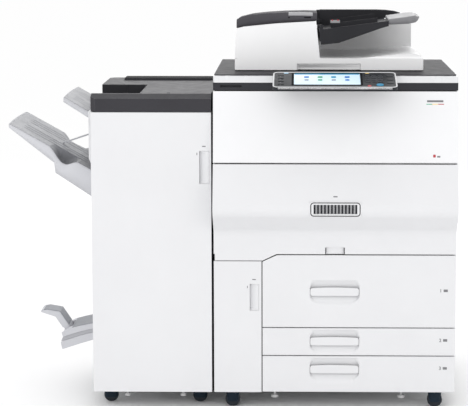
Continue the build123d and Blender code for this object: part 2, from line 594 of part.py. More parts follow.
# Finisher
with BuildPart() as finisher_frame:
    box(FIN_LEFT + 8, FIN_RIGHT - 8, FRONT + 26, FIN_REAR - 8, COVER_BOTTOM, COVER_BOTTOM + 12)
    box(FIN_LEFT + 8, FIN_LEFT + 10, FRAME_FRONT, FIN_REAR - 8, 70, 640)
    box(FIN_RIGHT - 10, FIN_RIGHT - 8, FRAME_FRONT, FIN_REAR - 8, 70, 936)
    box(FIN_LEFT + 10.5, FIN_RIGHT - 10.5, FRAME_FRONT, FRAME_FRONT + 2, 70, 936)
    for z0, z1, reach in ((110, 118, -14), (900, 908, 14)):
        box(FIN_DOOR_HINGE[0] - 2, FIN_DOOR_HINGE[0] + 10, FIN_DOOR_HINGE[1] - 2.2, FRAME_FRONT, z0, z1)
        rod("z", (*FIN_DOOR_HINGE, z0 if reach < 0 else z1), reach, PIN_RADIUS)
    for x in FIN_WHEEL_X:
        for y in FIN_WHEEL_Y:
            for dy in (-13, 10):
                box(x - 12, x + 12, y + dy, y + dy + 3, 16, COVER_BOTTOM + 1)
            rod("y", (x, y - 13, FIN_CASTER_RADIUS), 26, AXLE - 1)
save(finisher_frame, "finisher_frame")

with BuildPart() as finisher_left_cover:
    box(FIN_LEFT, FIN_LEFT + SKIN, SIDE_FRONT, FIN_REAR, COVER_BOTTOM, FIN_TOP)
    along_y([(FIN_LEFT, 768), (-435, 789), (-435, 936), (FIN_LEFT, 936)], SIDE_FRONT + 1, FIN_REAR - 80)
    for y in (10, 36):
        box(LEVER_HINGE[0] - 5, -434, y, y + 8, LEVER_HINGE[1] - 5, LEVER_HINGE[1] + 5)
    rod("y", (LEVER_HINGE[0], 10, LEVER_HINGE[1]), 34, 2)
save(finisher_left_cover, "finisher_left_cover")

with BuildPart() as finisher_rear_cover:
    box(FIN_RIGHT - SKIN, FIN_RIGHT, SIDE_FRONT, FIN_REAR, COVER_BOTTOM, FIN_TOP)
    box(FIN_LEFT + SKIN, FIN_RIGHT - SKIN, FIN_REAR - SKIN, FIN_REAR, COVER_BOTTOM, FIN_TOP)
save(finisher_rear_cover, "finisher_rear_cover")

with BuildPart() as finisher_door:
    door_top = FIN_TOP - SEAM
    inside = (FIN_LEFT + SKIN, FIN_RIGHT - SKIN, FRONT + SKIN, FRONT + WRAP)
    box(FIN_LEFT, FIN_RIGHT, FRONT, FRONT + WRAP, COVER_BOTTOM, door_top)
    box(*inside, COVER_BOTTOM + SKIN, door_top - SKIN, mode=Mode.SUBTRACT)
    fillet(finisher_door.edges().filter_by(Axis.Z).sort_by(Axis.X)[0], 2.5)
    box(-96, FIN_RIGHT - SKIN, FRONT + SKIN, FRONT + 20, 711, 821)
    box(-92, -61, FRONT - 1, FRONT + 16, 715, 817, mode=Mode.SUBTRACT)
    door_x, door_y = FIN_DOOR_HINGE
    for z0, z1 in ((98, 109), (909, 920)):
        box(door_x - EAR, door_x + EAR, door_y - EAR, door_y + EAR, z0, z1)
        rod("z", (door_x, door_y, z0 - 1), z1 - z0 + 2, PIN_RADIUS + RUNNING, mode=Mode.SUBTRACT)
    for z0, z1 in ((109, 118 + ARM_GAP), (900 - ARM_GAP, 909)):
        box(FIN_LEFT - 1, FIN_LEFT + SKIN, FRONT + 4, FRONT + WRAP + 1, z0, z1, mode=Mode.SUBTRACT)
save(finisher_door, "finisher_door")

FIN_LID_TOP = 990.0
with BuildPart() as finisher_top_cover:
    along_x(
        [
            (FRONT, FIN_TOP),
            (FRONT, 978),
            (FRONT + 38, FIN_LID_TOP),
            (FIN_REAR, FIN_LID_TOP),
            (FIN_REAR, FIN_TOP),
        ],
        FIN_LEFT,
        FIN_RIGHT,
    )
    chamfer(finisher_top_cover.edges().filter_by(Axis.Z).group_by(Axis.X)[0], 14)
    box(FIN_LEFT - 1, -278, FRONT + 50, FRONT + 347, 955, FIN_LID_TOP + 1, mode=Mode.SUBTRACT)
    box(-370, FIN_RIGHT, FRONT + 511, FIN_REAR - 14, FIN_LID_TOP, FIN_LID_TOP + 6)
save(finisher_top_cover, "finisher_top_cover")

# Output trays: bent plates with raised ribs
TRAY_FRONT = -150.0
TRAY_REAR = 225.0
SHIFT_TOP = ((-701.5, 868), (-698, 882), (-685, 883), (-567, 812), (-468, 756), (-436, 740))
SHIFT_BOTTOM = ((-436, 655), (-452, 660), (-555, 728), (-555, 757), (-690, 856))
with BuildPart() as shift_tray:
    along_y([*SHIFT_TOP, *SHIFT_BOTTOM], TRAY_FRONT, TRAY_REAR)
    along_y([(-452, 659), (-427.2, 656), (-427.2, 738), (-440, 742)], TRAY_FRONT + 20, TRAY_REAR - 20)
    for rib_y in (-80, -20, 37, 95, 155):
        along_y([(-672, 872), (-668, 877), (-450, 751), (-450, 745)], rib_y - 3, rib_y + 3)
save(shift_tray, "shift_tray")

PROOF = ((-530, 954), (-527, 966), (-515, 970), (-448, 931), (-435.2, 926), (-435.2, 896), (-450, 903))
with BuildPart() as proof_tray:
    along_y(PROOF, TRAY_FRONT, TRAY_REAR)
    for rib_y in (-80, -20, 37, 95, 155):
        along_y([(-508, 964), (-506, 968), (-448, 934), (-448, 929)], rib_y - 3, rib_y + 3)
save(proof_tray, "proof_tray")

LEVER_BAR = ((-438, 836), (-438, 846), (-472, 833), (-550, 806.5), (-552, 803.8), (-548, 802.8), (-470, 829))
with BuildPart() as stack_lever:
    along_y(LEVER_BAR, 20, 34)
    rod("y", (LEVER_HINGE[0], 20, LEVER_HINGE[1]), 14, 5)
    rod("y", (LEVER_HINGE[0], 19, LEVER_HINGE[1]), 16, 2 + RUNNING, mode=Mode.SUBTRACT)
save(stack_lever, "stack_lever")

BOOK_FRONT = -60.0
BOOK_REAR = 85.0
BOOK_WIDTH = BOOK_REAR - BOOK_FRONT
BOOK_UPPER = ((-548, 198), (-528, 209), (-490, 219), (FIN_LEFT, 232))
BOOK_LOWER = ((FIN_LEFT, 182), (-456, 173), (-549, 141))
with BuildPart() as booklet_tray:
    along_y([*BOOK_UPPER, *BOOK_LOWER], BOOK_FRONT, BOOK_REAR)
    box(-552, -520, BOOK_FRONT + 30, BOOK_REAR - 30, 180, 215, mode=Mode.SUBTRACT)
    rod("y", (FENCE_HINGE[0], BOOK_FRONT + 29, FENCE_HINGE[1]), BOOK_WIDTH - 58, 2)
save(booklet_tray, "booklet_tray")

FENCE_UPPER = ((-532, 190), (-529, 200), (-561, 254), (-600, 262), (-620, 262))
FENCE_LOWER = ((-570, 244), (-546, 198), (-540, 190))
with BuildPart() as booklet_fence:
    along_y([*FENCE_UPPER, *FENCE_LOWER], BOOK_FRONT + 31, BOOK_REAR - 31)
    rod("y", (FENCE_HINGE[0], BOOK_FRONT, FENCE_HINGE[1]), BOOK_WIDTH, 2 + RUNNING, mode=Mode.SUBTRACT)
save(booklet_fence, "booklet_fence")

# Casters, wheels and levelling feet
for side, x in FORKS.items():
    with BuildPart() as fork:
        rod("z", (x, CASTER_Y, 50), 6, 20)
        for y in (-14, 11):
            box(x - 14, x + 14, CASTER_Y + y, CASTER_Y + y + 3, 16, 51)
        rod("y", (x, CASTER_Y - 14, CASTER_RADIUS), 28, AXLE - 1)
    save(fork, f"caster_{side}_fork")
    with BuildPart() as wheel:
        rod("y", (x, CASTER_Y - 10, CASTER_RADIUS), 20, CASTER_RADIUS)
        fillet(wheel.edges().filter_by(GeomType.CIRCLE), 2)
        rod("y", (x, CASTER_Y - 11, CASTER_RADIUS), 22, AXLE - 1 + RUNNING, mode=Mode.SUBTRACT)
    save(wheel, f"caster_{side}_wheel")

with BuildPart() as rear_wheels:
    for x in FORKS.values():
        rod("x", (x - 10, REAR_WHEEL_Y, CASTER_RADIUS), 20, CASTER_RADIUS)
    fillet(rear_wheels.edges().filter_by(GeomType.CIRCLE), 2)
    for x in FORKS.values():
        rod("x", (x - 11, REAR_WHEEL_Y, CASTER_RADIUS), 22, AXLE - 1 + RUNNING, mode=Mode.SUBTRACT)
save(rear_wheels, "rear_wheels")

for name, x in zip(("finisher_left_wheels", "finisher_right_wheels"), FIN_WHEEL_X):
    with BuildPart() as wheels:
        for y in FIN_WHEEL_Y:
            rod("y", (x, y - 9, FIN_CASTER_RADIUS), 18, FIN_CASTER_RADIUS)
        fillet(wheels.edges().filter_by(GeomType.CIRCLE), 2)
        for y in FIN_WHEEL_Y:
            rod("y", (x, y - 10, FIN_CASTER_RADIUS), 20, AXLE - 1 + RUNNING, mode=Mode.SUBTRACT)
    save(wheels, name)

FEET = ((140, FRONT + 60, 11), (538, FRONT + 60, 11), (-326, FRONT + 70, 9), (-150, FRONT + 70, 9))
with BuildPart() as leveling_feet:
    for x, y, radius in FEET:
        rod("z", (x, y, 27), 8, radius)
        rod("z", (x, y, 34), COVER_BOTTOM - 34, 4)
save(leveling_feet, "leveling_feet")
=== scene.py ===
import math

import bmesh
import bpy
from mathutils import Matrix, Vector
from mathutils.bvhtree import BVHTree


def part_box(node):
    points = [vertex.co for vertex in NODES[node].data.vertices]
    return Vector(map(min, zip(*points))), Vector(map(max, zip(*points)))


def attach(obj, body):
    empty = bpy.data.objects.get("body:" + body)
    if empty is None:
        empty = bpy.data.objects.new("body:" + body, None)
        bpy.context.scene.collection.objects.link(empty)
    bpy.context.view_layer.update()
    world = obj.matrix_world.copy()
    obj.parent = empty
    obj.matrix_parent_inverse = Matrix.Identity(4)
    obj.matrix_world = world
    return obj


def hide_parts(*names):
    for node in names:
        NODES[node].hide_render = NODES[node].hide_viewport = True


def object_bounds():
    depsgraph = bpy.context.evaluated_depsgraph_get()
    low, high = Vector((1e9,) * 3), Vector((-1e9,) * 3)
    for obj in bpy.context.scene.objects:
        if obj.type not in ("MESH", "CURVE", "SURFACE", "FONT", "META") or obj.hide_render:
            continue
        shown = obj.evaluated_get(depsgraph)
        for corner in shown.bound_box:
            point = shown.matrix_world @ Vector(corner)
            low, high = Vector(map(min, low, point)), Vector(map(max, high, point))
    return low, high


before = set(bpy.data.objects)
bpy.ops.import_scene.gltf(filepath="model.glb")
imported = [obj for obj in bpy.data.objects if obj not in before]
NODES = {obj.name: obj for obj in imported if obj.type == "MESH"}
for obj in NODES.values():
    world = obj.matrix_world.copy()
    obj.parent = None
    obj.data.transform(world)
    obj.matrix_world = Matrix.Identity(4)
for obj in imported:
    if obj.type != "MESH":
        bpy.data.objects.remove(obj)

# Looks for the photocopier: every material is made of nodes, and each added piece rides on its CAD body.
# Lengths are in millimetres in the piece builders and in metres in Blender's own data.
CAD_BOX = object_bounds()
MM = 0.001
SCENE = bpy.context.scene


# ---- materials
# Sizes of the surface patterns, in cells per metre.
CLOUD_CELLS = 6.0
SMEAR_CELLS = 35.0
GRAIN_CELLS = 1400.0
SPANGLE_CELLS = 90.0
STREAK_CELLS = 220.0
GLASS_CELLS = 60.0
LIT_CELLS = 150.0
FLOOR_CELLS = 3.0
# The part of a noise value's range that spread() uses.
NOISE_MIDDLE = (0.3, 0.7)
# The rubbed edges' width in metres, and the cosines of the turns where the rub starts and is full.
EDGE_RUB_WIDTH = 0.0012
EDGE_TURNS = (0.995, 0.85)
# The sockets of a colour mix node.
MIX_FACTOR, MIX_FIRST, MIX_SECOND, MIX_RESULT = 0, 6, 7, 2


def new_material(name):
    """A material with its node list and its links."""
    material = bpy.data.materials.new(name)
    material.use_nodes = True
    return material, material.node_tree.nodes, material.node_tree.links


def noise(nodes, links, scale, detail=3.0, roughness=0.55):
    """A noise texture in object space, in cells per metre."""
    place = nodes.new("ShaderNodeTexCoord")
    texture = nodes.new("ShaderNodeTexNoise")
    texture.inputs["Scale"].default_value = scale
    texture.inputs["Detail"].default_value = detail
    texture.inputs["Roughness"].default_value = roughness
    links.new(place.outputs["Object"], texture.inputs["Vector"])
    return texture.outputs["Fac"]


def spread(nodes, links, value, low, high):
    """Maps the middle of a noise value to a range."""
    span = nodes.new("ShaderNodeMapRange")
    span.inputs["From Min"].default_value = NOISE_MIDDLE[0]
    span.inputs["From Max"].default_value = NOISE_MIDDLE[1]
    span.inputs["To Min"].default_value = low
    span.inputs["To Max"].default_value = high
    links.new(value, span.inputs["Value"])
    return span.outputs["Result"]


def blend_colours(nodes, links, factor, first, second):
    """Mixes two colours; each is either a tuple or another node's output."""
    mix = nodes.new("ShaderNodeMix")
    mix.data_type = "RGBA"
    links.new(factor, mix.inputs[MIX_FACTOR])
    for socket, colour in ((MIX_FIRST, first), (MIX_SECOND, second)):
        if isinstance(colour, tuple):
            mix.inputs[socket].default_value = (*colour, 1)
        else:
            links.new(colour, mix.inputs[socket])
    return mix.outputs[MIX_RESULT]


def edge_factor(nodes, links, width):
    """1 where a surface turns a corner, 0 on the flat."""
    bevel = nodes.new("ShaderNodeBevel")
    bevel.samples = 4
    bevel.inputs["Radius"].default_value = width
    geometry = nodes.new("ShaderNodeNewGeometry")
    dot = nodes.new("ShaderNodeVectorMath")
    dot.operation = "DOT_PRODUCT"
    links.new(bevel.outputs["Normal"], dot.inputs[0])
    links.new(geometry.outputs["Normal"], dot.inputs[1])
    span = nodes.new("ShaderNodeMapRange")
    span.inputs["From Min"].default_value = EDGE_TURNS[0]
    span.inputs["From Max"].default_value = EDGE_TURNS[1]
    links.new(dot.outputs["Value"], span.inputs["Value"])
    return span.outputs["Result"]


def moulded(
    name, colour, roughness=0.42, grain=GRAIN_CELLS, depth=0.00006, mottle=0.03, worn=None, coat=0.0,
    gloss=0.45,
):
    """Moulded plastic: fine spark-eroded grain, faint cloudiness, and edges rubbed a little lighter."""
    material, nodes, links = new_material(name)
    shader = nodes["Principled BSDF"]
    dark = tuple(c * (1 - mottle) for c in colour)
    light = tuple(min(c * (1 + mottle), 1) for c in colour)
    clouds = noise(nodes, links, CLOUD_CELLS, 4.0)
    tint = blend_colours(nodes, links, spread(nodes, links, clouds, 0.0, 1.0), dark, light)
    if worn:
        tint = blend_colours(nodes, links, edge_factor(nodes, links, EDGE_RUB_WIDTH), tint, worn)
    links.new(tint, shader.inputs["Base Color"])
    smears = noise(nodes, links, SMEAR_CELLS, 5.0)
    links.new(spread(nodes, links, smears, roughness - 0.04, roughness + 0.05), shader.inputs["Roughness"])
    bump = nodes.new("ShaderNodeBump")
    bump.inputs["Strength"].default_value = 0.5
    bump.inputs["Distance"].default_value = depth
    links.new(noise(nodes, links, grain, 2.0), bump.inputs["Height"])
    links.new(bump.outputs["Normal"], shader.inputs["Normal"])
    shader.inputs["Specular IOR Level"].default_value = gloss
    shader.inputs["Coat Weight"].default_value = coat
    shader.inputs["Coat Roughness"].default_value = 0.15
    return material


def shade_hollow(material, centre, radii, dark):
    """Deepens a material's colour inside an ellipsoid, most at its centre; lengths in millimetres."""
    nodes, links = material.node_tree.nodes, material.node_tree.links
    socket = nodes["Principled BSDF"].inputs["Base Color"]
    place = nodes.new("ShaderNodeTexCoord")
    move = nodes.new("ShaderNodeMapping")
    move.vector_type = "TEXTURE"
    move.inputs["Location"].default_value = [v * MM for v in centre]
    move.inputs["Scale"].default_value = [v * MM for v in radii]
    ball = nodes.new("ShaderNodeTexGradient")
    ball.gradient_type = "SPHERICAL"
    links.new(place.outputs["Object"], move.inputs["Vector"])
    links.new(move.outputs["Vector"], ball.inputs["Vector"])
    links.new(blend_colours(nodes, links, ball.outputs["Fac"], socket.links[0].from_socket, dark), socket)


def metal(name, colour, roughness=0.35):
    """Zinc-plated or drawn steel: streaks along the sheet and a cloudy plating."""
    material, nodes, links = new_material(name)
    shader = nodes["Principled BSDF"]
    shader.inputs["Metallic"].default_value = 0.9
    spangle = nodes.new("ShaderNodeTexVoronoi")
    spangle.inputs["Scale"].default_value = SPANGLE_CELLS
    place = nodes.new("ShaderNodeTexCoord")
    links.new(place.outputs["Object"], spangle.inputs["Vector"])
    dark = tuple(c * 0.85 for c in colour)
    tint = blend_colours(nodes, links, spangle.outputs["Distance"], colour, dark)
    links.new(tint, shader.inputs["Base Color"])
    streaks = noise(nodes, links, STREAK_CELLS, 4.0)
    links.new(spread(nodes, links, streaks, roughness - 0.08, roughness + 0.1), shader.inputs["Roughness"])
    bump = nodes.new("ShaderNodeBump")
    bump.inputs["Strength"].default_value = 0.3
    bump.inputs["Distance"].default_value = 0.00005
    links.new(streaks, bump.inputs["Height"])
    links.new(bump.outputs["Normal"], shader.inputs["Normal"])
    return material


def rubber(name, colour, roughness=0.75):
    """Rubber or urethane with a dusty, finely pitted face."""
    material = moulded(name, colour, roughness, grain=900.0, depth=0.0002, mottle=0.2)
    material.node_tree.nodes["Principled BSDF"].inputs["Sheen Weight"].default_value = 0.2
    return material


def clear_glass(name):
    """Contact glass: green-grey, with faint wipe marks in its gloss."""
    material, nodes, links = new_material(name)
    shader = nodes["Principled BSDF"]
    shader.inputs["Base Color"].default_value = (0.55, 0.62, 0.6, 1)
    shader.inputs["Transmission Weight"].default_value = 0.7
    shader.inputs["IOR"].default_value = 1.5
    wipes = noise(nodes, links, GLASS_CELLS, 6.0)
    links.new(spread(nodes, links, wipes, 0.02, 0.08), shader.inputs["Roughness"])
    return material


def lit(name, colour, strength, second=None, cells=9.0):
    """A lit face: a colour that glows, with a faint gradient over it."""
    material, nodes, links = new_material(name)
    shader = nodes["Principled BSDF"]
    drift = spread(nodes, links, noise(nodes, links, cells, 1.0), 0, 1)
    glow = blend_colours(nodes, links, drift, colour, second or tuple(c * 0.9 for c in colour))
    links.new(glow, shader.inputs["Base Color"])
    links.new(glow, shader.inputs["Emission Color"])
    shader.inputs["Emission Strength"].default_value = strength
    film = noise(nodes, links, LIT_CELLS)
    links.new(spread(nodes, links, film, 0.1, 0.2), shader.inputs["Roughness"])
    return material


WHITE = moulded("white_cover", (0.755, 0.757, 0.772), 0.46, mottle=0.012, worn=(0.8, 0.8, 0.81), gloss=0.3)
# A brighter copy of the white cover plastic, for the feeder and the lining of its lift recess: painted
# light that lifts the shade on these faces.
WHITE_FEEDER_BRIGHTENED = moulded(
    "white_feeder_brightened", (0.94, 0.94, 0.945), 0.46, mottle=0.012, worn=(0.95, 0.95, 0.95), gloss=0.3,
)
# A brighter copy of the white cover plastic for the toner cover: painted light against the shade that its
# lean and the panel above cast on it.
WHITE_LEANING_BRIGHTENED = moulded(
    "white_leaning_brightened", (0.83, 0.832, 0.845), 0.46, mottle=0.012, worn=(0.86, 0.86, 0.87), gloss=0.3,
)
WHITE_SATIN = moulded(
    "white_satin", (0.74, 0.745, 0.76), 0.3, mottle=0.015, worn=(0.8, 0.8, 0.81), coat=0.15,
)
SILVER = moulded("silver_band", (0.74, 0.745, 0.76), 0.26, mottle=0.03, worn=(0.8, 0.8, 0.81), coat=0.3)
DARK = moulded(
    "dark_cover", (0.030, 0.030, 0.036), 0.46, mottle=0.1, worn=(0.075, 0.075, 0.082), gloss=0.22,
)
DARK_LID = moulded(
    "dark_lid", (0.078, 0.076, 0.084), 0.55, mottle=0.07, worn=(0.10, 0.10, 0.11), gloss=0.02,
)
DARK_TOP = moulded("dark_top", (0.040, 0.039, 0.045), 0.5, mottle=0.08, worn=(0.13, 0.13, 0.14), gloss=0.2)
PLATEN_DARK = moulded(
    "platen_dark", (0.036, 0.035, 0.040), 0.5, mottle=0.08, worn=(0.10, 0.10, 0.11), gloss=0.06,
)
TABLE_DARK = moulded(
    "table_dark", (0.034, 0.034, 0.038), 0.5, mottle=0.12, worn=(0.06, 0.06, 0.065), gloss=0.07,
)
BLACK = moulded("black_recess", (0.008, 0.008, 0.010), 0.7, mottle=0.15, gloss=0.08)
GREY_TRAY = moulded(
    "grey_tray", (0.60, 0.605, 0.635), 0.44, mottle=0.02, worn=(0.66, 0.67, 0.70), gloss=0.25,
)
GREY_GROOVE = moulded(
    "grey_groove", (0.47, 0.475, 0.50), 0.46, mottle=0.03, worn=(0.46, 0.46, 0.49), gloss=0.2,
)
# Painted shade on the shift and proof trays' tops, laid as a darker skin over their sheet sides.
GREY_SHEET_SHADE = moulded(
    "grey_sheet_side_shade", (0.315, 0.32, 0.34), 0.44, mottle=0.02, worn=(0.42, 0.43, 0.45), gloss=0.25,
)
# A darker tray grey: painted shade on the tops of the booklet tray and its fence paddle, and also the
# colour of the booklet exit lip.
GREY_DARK_AND_SHADE = moulded(
    "grey_tray_dark_and_shade", (0.30, 0.31, 0.335), 0.46, mottle=0.03, worn=(0.36, 0.37, 0.4), gloss=0.2,
)
GREY_WALL = moulded(
    "grey_wall", (0.78, 0.78, 0.785), 0.55, mottle=0.05, worn=(0.82, 0.82, 0.825), gloss=0.15,
)
GREY_ARM = moulded("grey_arm", (0.215, 0.215, 0.225), 0.4, mottle=0.05, worn=(0.36, 0.36, 0.37), gloss=0.3)
INNER = moulded("inner_plastic", (0.14, 0.16, 0.19), 0.5, mottle=0.06, worn=(0.2, 0.22, 0.25))
TUB_GREY = moulded("tub_grey", (0.42, 0.43, 0.45), 0.5, mottle=0.05, worn=(0.5, 0.51, 0.53))
STEEL = metal("steel", (0.55, 0.56, 0.57))
RUBBER = rubber("black_rubber", (0.02, 0.02, 0.022))
FUSER = rubber("silicone_rubber", (0.42, 0.12, 0.05), 0.55)
CASTER = rubber("caster_tread", (0.006, 0.011, 0.018), 0.6)
CASTER_HOOD = moulded(
    "caster_hood", (0.007, 0.017, 0.030), 0.42, mottle=0.14, worn=(0.02, 0.035, 0.05), gloss=0.2,
)
FOOT_WHITE = moulded("foot_nylon", (0.62, 0.62, 0.62), 0.4, mottle=0.05)
GLASS = clear_glass("contact_glass")
PANEL_FACE = moulded("panel_face", (0.016, 0.018, 0.023), 0.3, mottle=0.1, coat=0.2, gloss=0.2)
KEY_DARK = moulded("key_dark", (0.045, 0.048, 0.056), 0.4, mottle=0.08, worn=(0.11, 0.11, 0.12), gloss=0.2)
KEY_BLUE = lit("key_blue", (0.01, 0.20, 0.36), 0.35)
KEY_RED = lit("key_red", (0.42, 0.05, 0.06), 0.25)
KEY_AMBER = lit("key_amber", (0.75, 0.55, 0.22), 0.3)
KEY_PALE = lit("key_pale", (0.45, 0.68, 0.85), 0.5)
SCREEN = lit("screen", (0.55, 0.72, 0.86), 0.3, (0.75, 0.86, 0.93), 4.0)
ICON_BLUE = lit("icon_blue", (0.02, 0.16, 0.52), 0.35)
ICON_GREEN = lit("icon_green", (0.06, 0.34, 0.20), 0.35)
ICON_TEAL = lit("icon_teal", (0.02, 0.26, 0.45), 0.35)
ICON_GREY = lit("icon_grey", (0.26, 0.28, 0.36), 0.3)
# Painted shadow in the gaps round the tray grip bars.
GAP_SHADE_GREY = moulded("gap_shade_grey", (0.30, 0.30, 0.305), 0.6, mottle=0.1, gloss=0.1)
SLAT_GREY = moulded("slat_grey", (0.31, 0.31, 0.32), 0.5, mottle=0.06, gloss=0.2)
MARK = moulded("print_grey", (0.20, 0.20, 0.21), 0.5, mottle=0.1)
PALE_LABEL = moulded("pale_label", (0.36, 0.36, 0.375), 0.3, mottle=0.08)
TONER_COLOURS = {
    "yellow": (0.75, 0.55, 0.02),
    "magenta": (0.55, 0.03, 0.2),
    "cyan": (0.02, 0.3, 0.55),
    "black": (0.02, 0.02, 0.022),
}

NODE_LOOKS = {
    WHITE: (
        "left_side_cover", "right_side_cover", "rear_cover", "front_cover",
        "lower_left_door", "tray_1_front", "tray_2_front", "tray_3_front",
        "finisher_left_cover", "finisher_rear_cover", "finisher_door", "vent_grille",
    ),
    WHITE_LEANING_BRIGHTENED: ("toner_cover",),
    WHITE_FEEDER_BRIGHTENED: ("adf_base", "adf_housing"),
    SILVER: ("scanner_housing",),
    DARK: ("front_band",),
    DARK_LID: ("adf_feed_cover",),
    TABLE_DARK: ("document_table", "front_guide", "rear_guide"),
    DARK_TOP: ("finisher_top_cover",),
    PLATEN_DARK: ("platen_frame",),
    FOOT_WHITE: ("leveling_feet",),
    GREY_TRAY: ("proof_tray", "shift_tray", "booklet_tray", "booklet_fence", "stack_lever"),
    GREY_ARM: ("table_extension",),
    GREY_WALL: ("adf_rear_wall",),
    STEEL: ("base_pan", "inner_frame", "cover_hinges", "finisher_frame"),
    CASTER_HOOD: ("caster_left_fork", "caster_right_fork"),
    GLASS: ("platen_glass",),
    INNER: ("inner_front_cover", "scanner_carriage"),
    TUB_GREY: ("tray_1_tub", "tray_2_tub", "tray_3_tub"),
    SCREEN: ("touch_screen",),
    PANEL_FACE: ("control_panel",),
    KEY_BLUE: ("start_key",),
    KEY_RED: ("stop_key",),
    KEY_DARK: ("number_keys",),
    RUBBER: ("adf_feed_roller", "pressure_roller"),
    FUSER: ("fusing_roller",),
    CASTER: ("caster_left_wheel", "caster_right_wheel", "rear_wheels", "finisher_left_wheels",
             "finisher_right_wheels"),
}
for toner, colour in TONER_COLOURS.items():
    NODE_LOOKS[moulded(f"toner_{toner}", colour, 0.35, coat=0.2)] = (f"toner_bottle_{toner}",)
# Widths of the rounded edges in millimetres.
EDGE_WIDTH = {
    "front_cover": 2.0, "toner_cover": 2.0, "finisher_door": 1.6, "lower_left_door": 1.4,
    "tray_1_front": 1.4, "tray_2_front": 1.4, "tray_3_front": 1.4, "adf_base": 3.0, "adf_housing": 5.0,
    "finisher_top_cover": 5.0, "scanner_housing": 2.5, "platen_frame": 1.2, "front_band": 2.5,
    "booklet_tray": 2.0, "booklet_fence": 2.0, "stack_lever": 1.2,
}
FLAT_ANGLE = math.radians(0.6)
SHARP_ANGLE = math.radians(28)


def soften(piece, width, segments=3, join_flats=True):
    """Rounds a hard-edged piece's corners with modifiers, so that its mesh stays as it is."""
    if join_flats:
        flat = piece.modifiers.new("join_flats", "DECIMATE")
        flat.decimate_type = "DISSOLVE"
        flat.angle_limit = FLAT_ANGLE
    bevel = piece.modifiers.new("round_edges", "BEVEL")
    bevel.width = width * MM
    bevel.segments = segments
    bevel.limit_method = "ANGLE"
    bevel.angle_limit = SHARP_ANGLE
    bevel.harden_normals = True
    for face in piece.data.polygons:
        face.use_smooth = True


for look, names in NODE_LOOKS.items():
    for name in names:
        node = NODES[name]
        node.data.materials.clear()
        node.data.materials.append(look)
        if name in EDGE_WIDTH:
            soften(node, EDGE_WIDTH[name])


# ---- mesh helpers, in millimetres
MERGE_DISTANCE = 1e-6


def make_piece(name, vertices, faces, material, body):
    """A mesh piece from vertices in millimetres, riding on a body."""
    mesh = bpy.data.meshes.new(name)
    mesh.from_pydata([Vector(v) * MM for v in vertices], [], faces)
    shape = bmesh.new()
    shape.from_mesh(mesh)
    bmesh.ops.remove_doubles(shape, verts=shape.verts, dist=MERGE_DISTANCE)
    bmesh.ops.recalc_face_normals(shape, faces=shape.faces)
    shape.to_mesh(mesh)
    shape.free()
    piece = bpy.data.objects.new(name, mesh)
    SCENE.collection.objects.link(piece)
    mesh.materials.append(material)
    for face in mesh.polygons:
        face.use_smooth = True
    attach(piece, body)
    return piece


def rounded_outline(width, height, radius, steps=6):
    """Points round a rounded rectangle about the origin."""
    points = []
    for turn, (sx, sy) in enumerate(((1, 1), (-1, 1), (-1, -1), (1, -1))):
        cx, cy = sx * (width / 2 - radius), sy * (height / 2 - radius)
        for step in range(steps + 1):
            angle = math.radians(90) * (turn + step / steps)
            points.append((cx + radius * math.cos(angle), cy + radius * math.sin(angle)))
    return points


def end_and_side_faces(count):
    """Faces of a solid between two outlines of as many points."""
    faces = [tuple(range(count))[::-1], tuple(range(count, 2 * count))]
    return faces + [(i, (i + 1) % count, count + (i + 1) % count, count + i) for i in range(count)]


def slab(name, outline, place, thickness, material, body, edge=0.0):
    """An outline in a placed plane, thickened along the plane's normal, with softened edges."""
    vertices = [place @ Vector((x, y, z)) for z in (0, thickness) for x, y in outline]
    piece = make_piece(name, vertices, end_and_side_faces(len(outline)), material, body)
    soften(piece, edge or min(thickness * 0.3, 1.0), 2)
    return piece


def tag(name, size, place, thickness, material, body, edge):
    """A slab shaped as a rounded rectangle; its size is its width, height and corner radius."""
    return slab(name, rounded_outline(*size), place, thickness, material, body, edge)


def ring(name, outer, inner, place, thickness, material, body, edge=0.6):
    """A flat ring between two outlines with the same number of points."""
    count = len(outer)
    lines = [(line, z) for z in (0, thickness) for line in (outer, inner)]
    vertices = [place @ Vector((x, y, z)) for line, z in lines for x, y in line]
    faces = []
    for i in range(count):
        j = (i + 1) % count
        faces.append((i, j, count + j, count + i))
        faces.append((2 * count + i, 3 * count + i, 3 * count + j, 2 * count + j))
        faces.append((i, 2 * count + i, 2 * count + j, j))
        faces.append((count + i, count + j, 3 * count + j, 3 * count + i))
    piece = make_piece(name, vertices, faces, material, body)
    soften(piece, edge, 2, join_flats=False)
    return piece


def prism(name, outline, y_front, y_rear, material, body, slot=None, edge=1.0):
    """A bar along Y with an outline of (X, Z) points, wound clockwise as the front sees it."""
    vertices = [(x, y, z) for y in (y_front, y_rear) for x, z in outline]
    piece = make_piece(name, vertices, end_and_side_faces(len(outline)), material, body)
    soften(piece, edge, 3)
    return piece


def shell(name, top, bottom, columns, rows, material, body):
    """A closed solid between two surfaces, each a function of u and v from 0 to 1."""
    vertices = []
    for surface in (top, bottom):
        for i in range(columns + 1):
            for j in range(rows + 1):
                vertices.append(surface(i / columns, j / rows))
    step = rows + 1
    under = (columns + 1) * step
    faces = []
    for i in range(columns):
        for j in range(rows):
            a = i * step + j
            faces.append((a, a + step, a + step + 1, a + 1))
            faces.append((under + a, under + a + 1, under + a + step + 1, under + a + step))
    for i in range(columns):
        for j in (0, rows):
            a, b = i * step + j, (i + 1) * step + j
            faces.append((a, b, under + b, under + a))
    for j in range(rows):
        for i in (0, columns):
            a = i * step + j
            faces.append((a, a + 1, under + a + 1, under + a))
    return make_piece(name, vertices, faces, material, body)


def between(span, part):
    """The place at a share of the way along a pair of values."""
    return span[0] + (span[1] - span[0]) * part


def smoothstep(low, high, value):
    """0 up to the low value, 1 from the high value on, and an eased rise between."""
    t = min(max((value - low) / (high - low), 0.0), 1.0)
    return t * t * (3 - 2 * t)


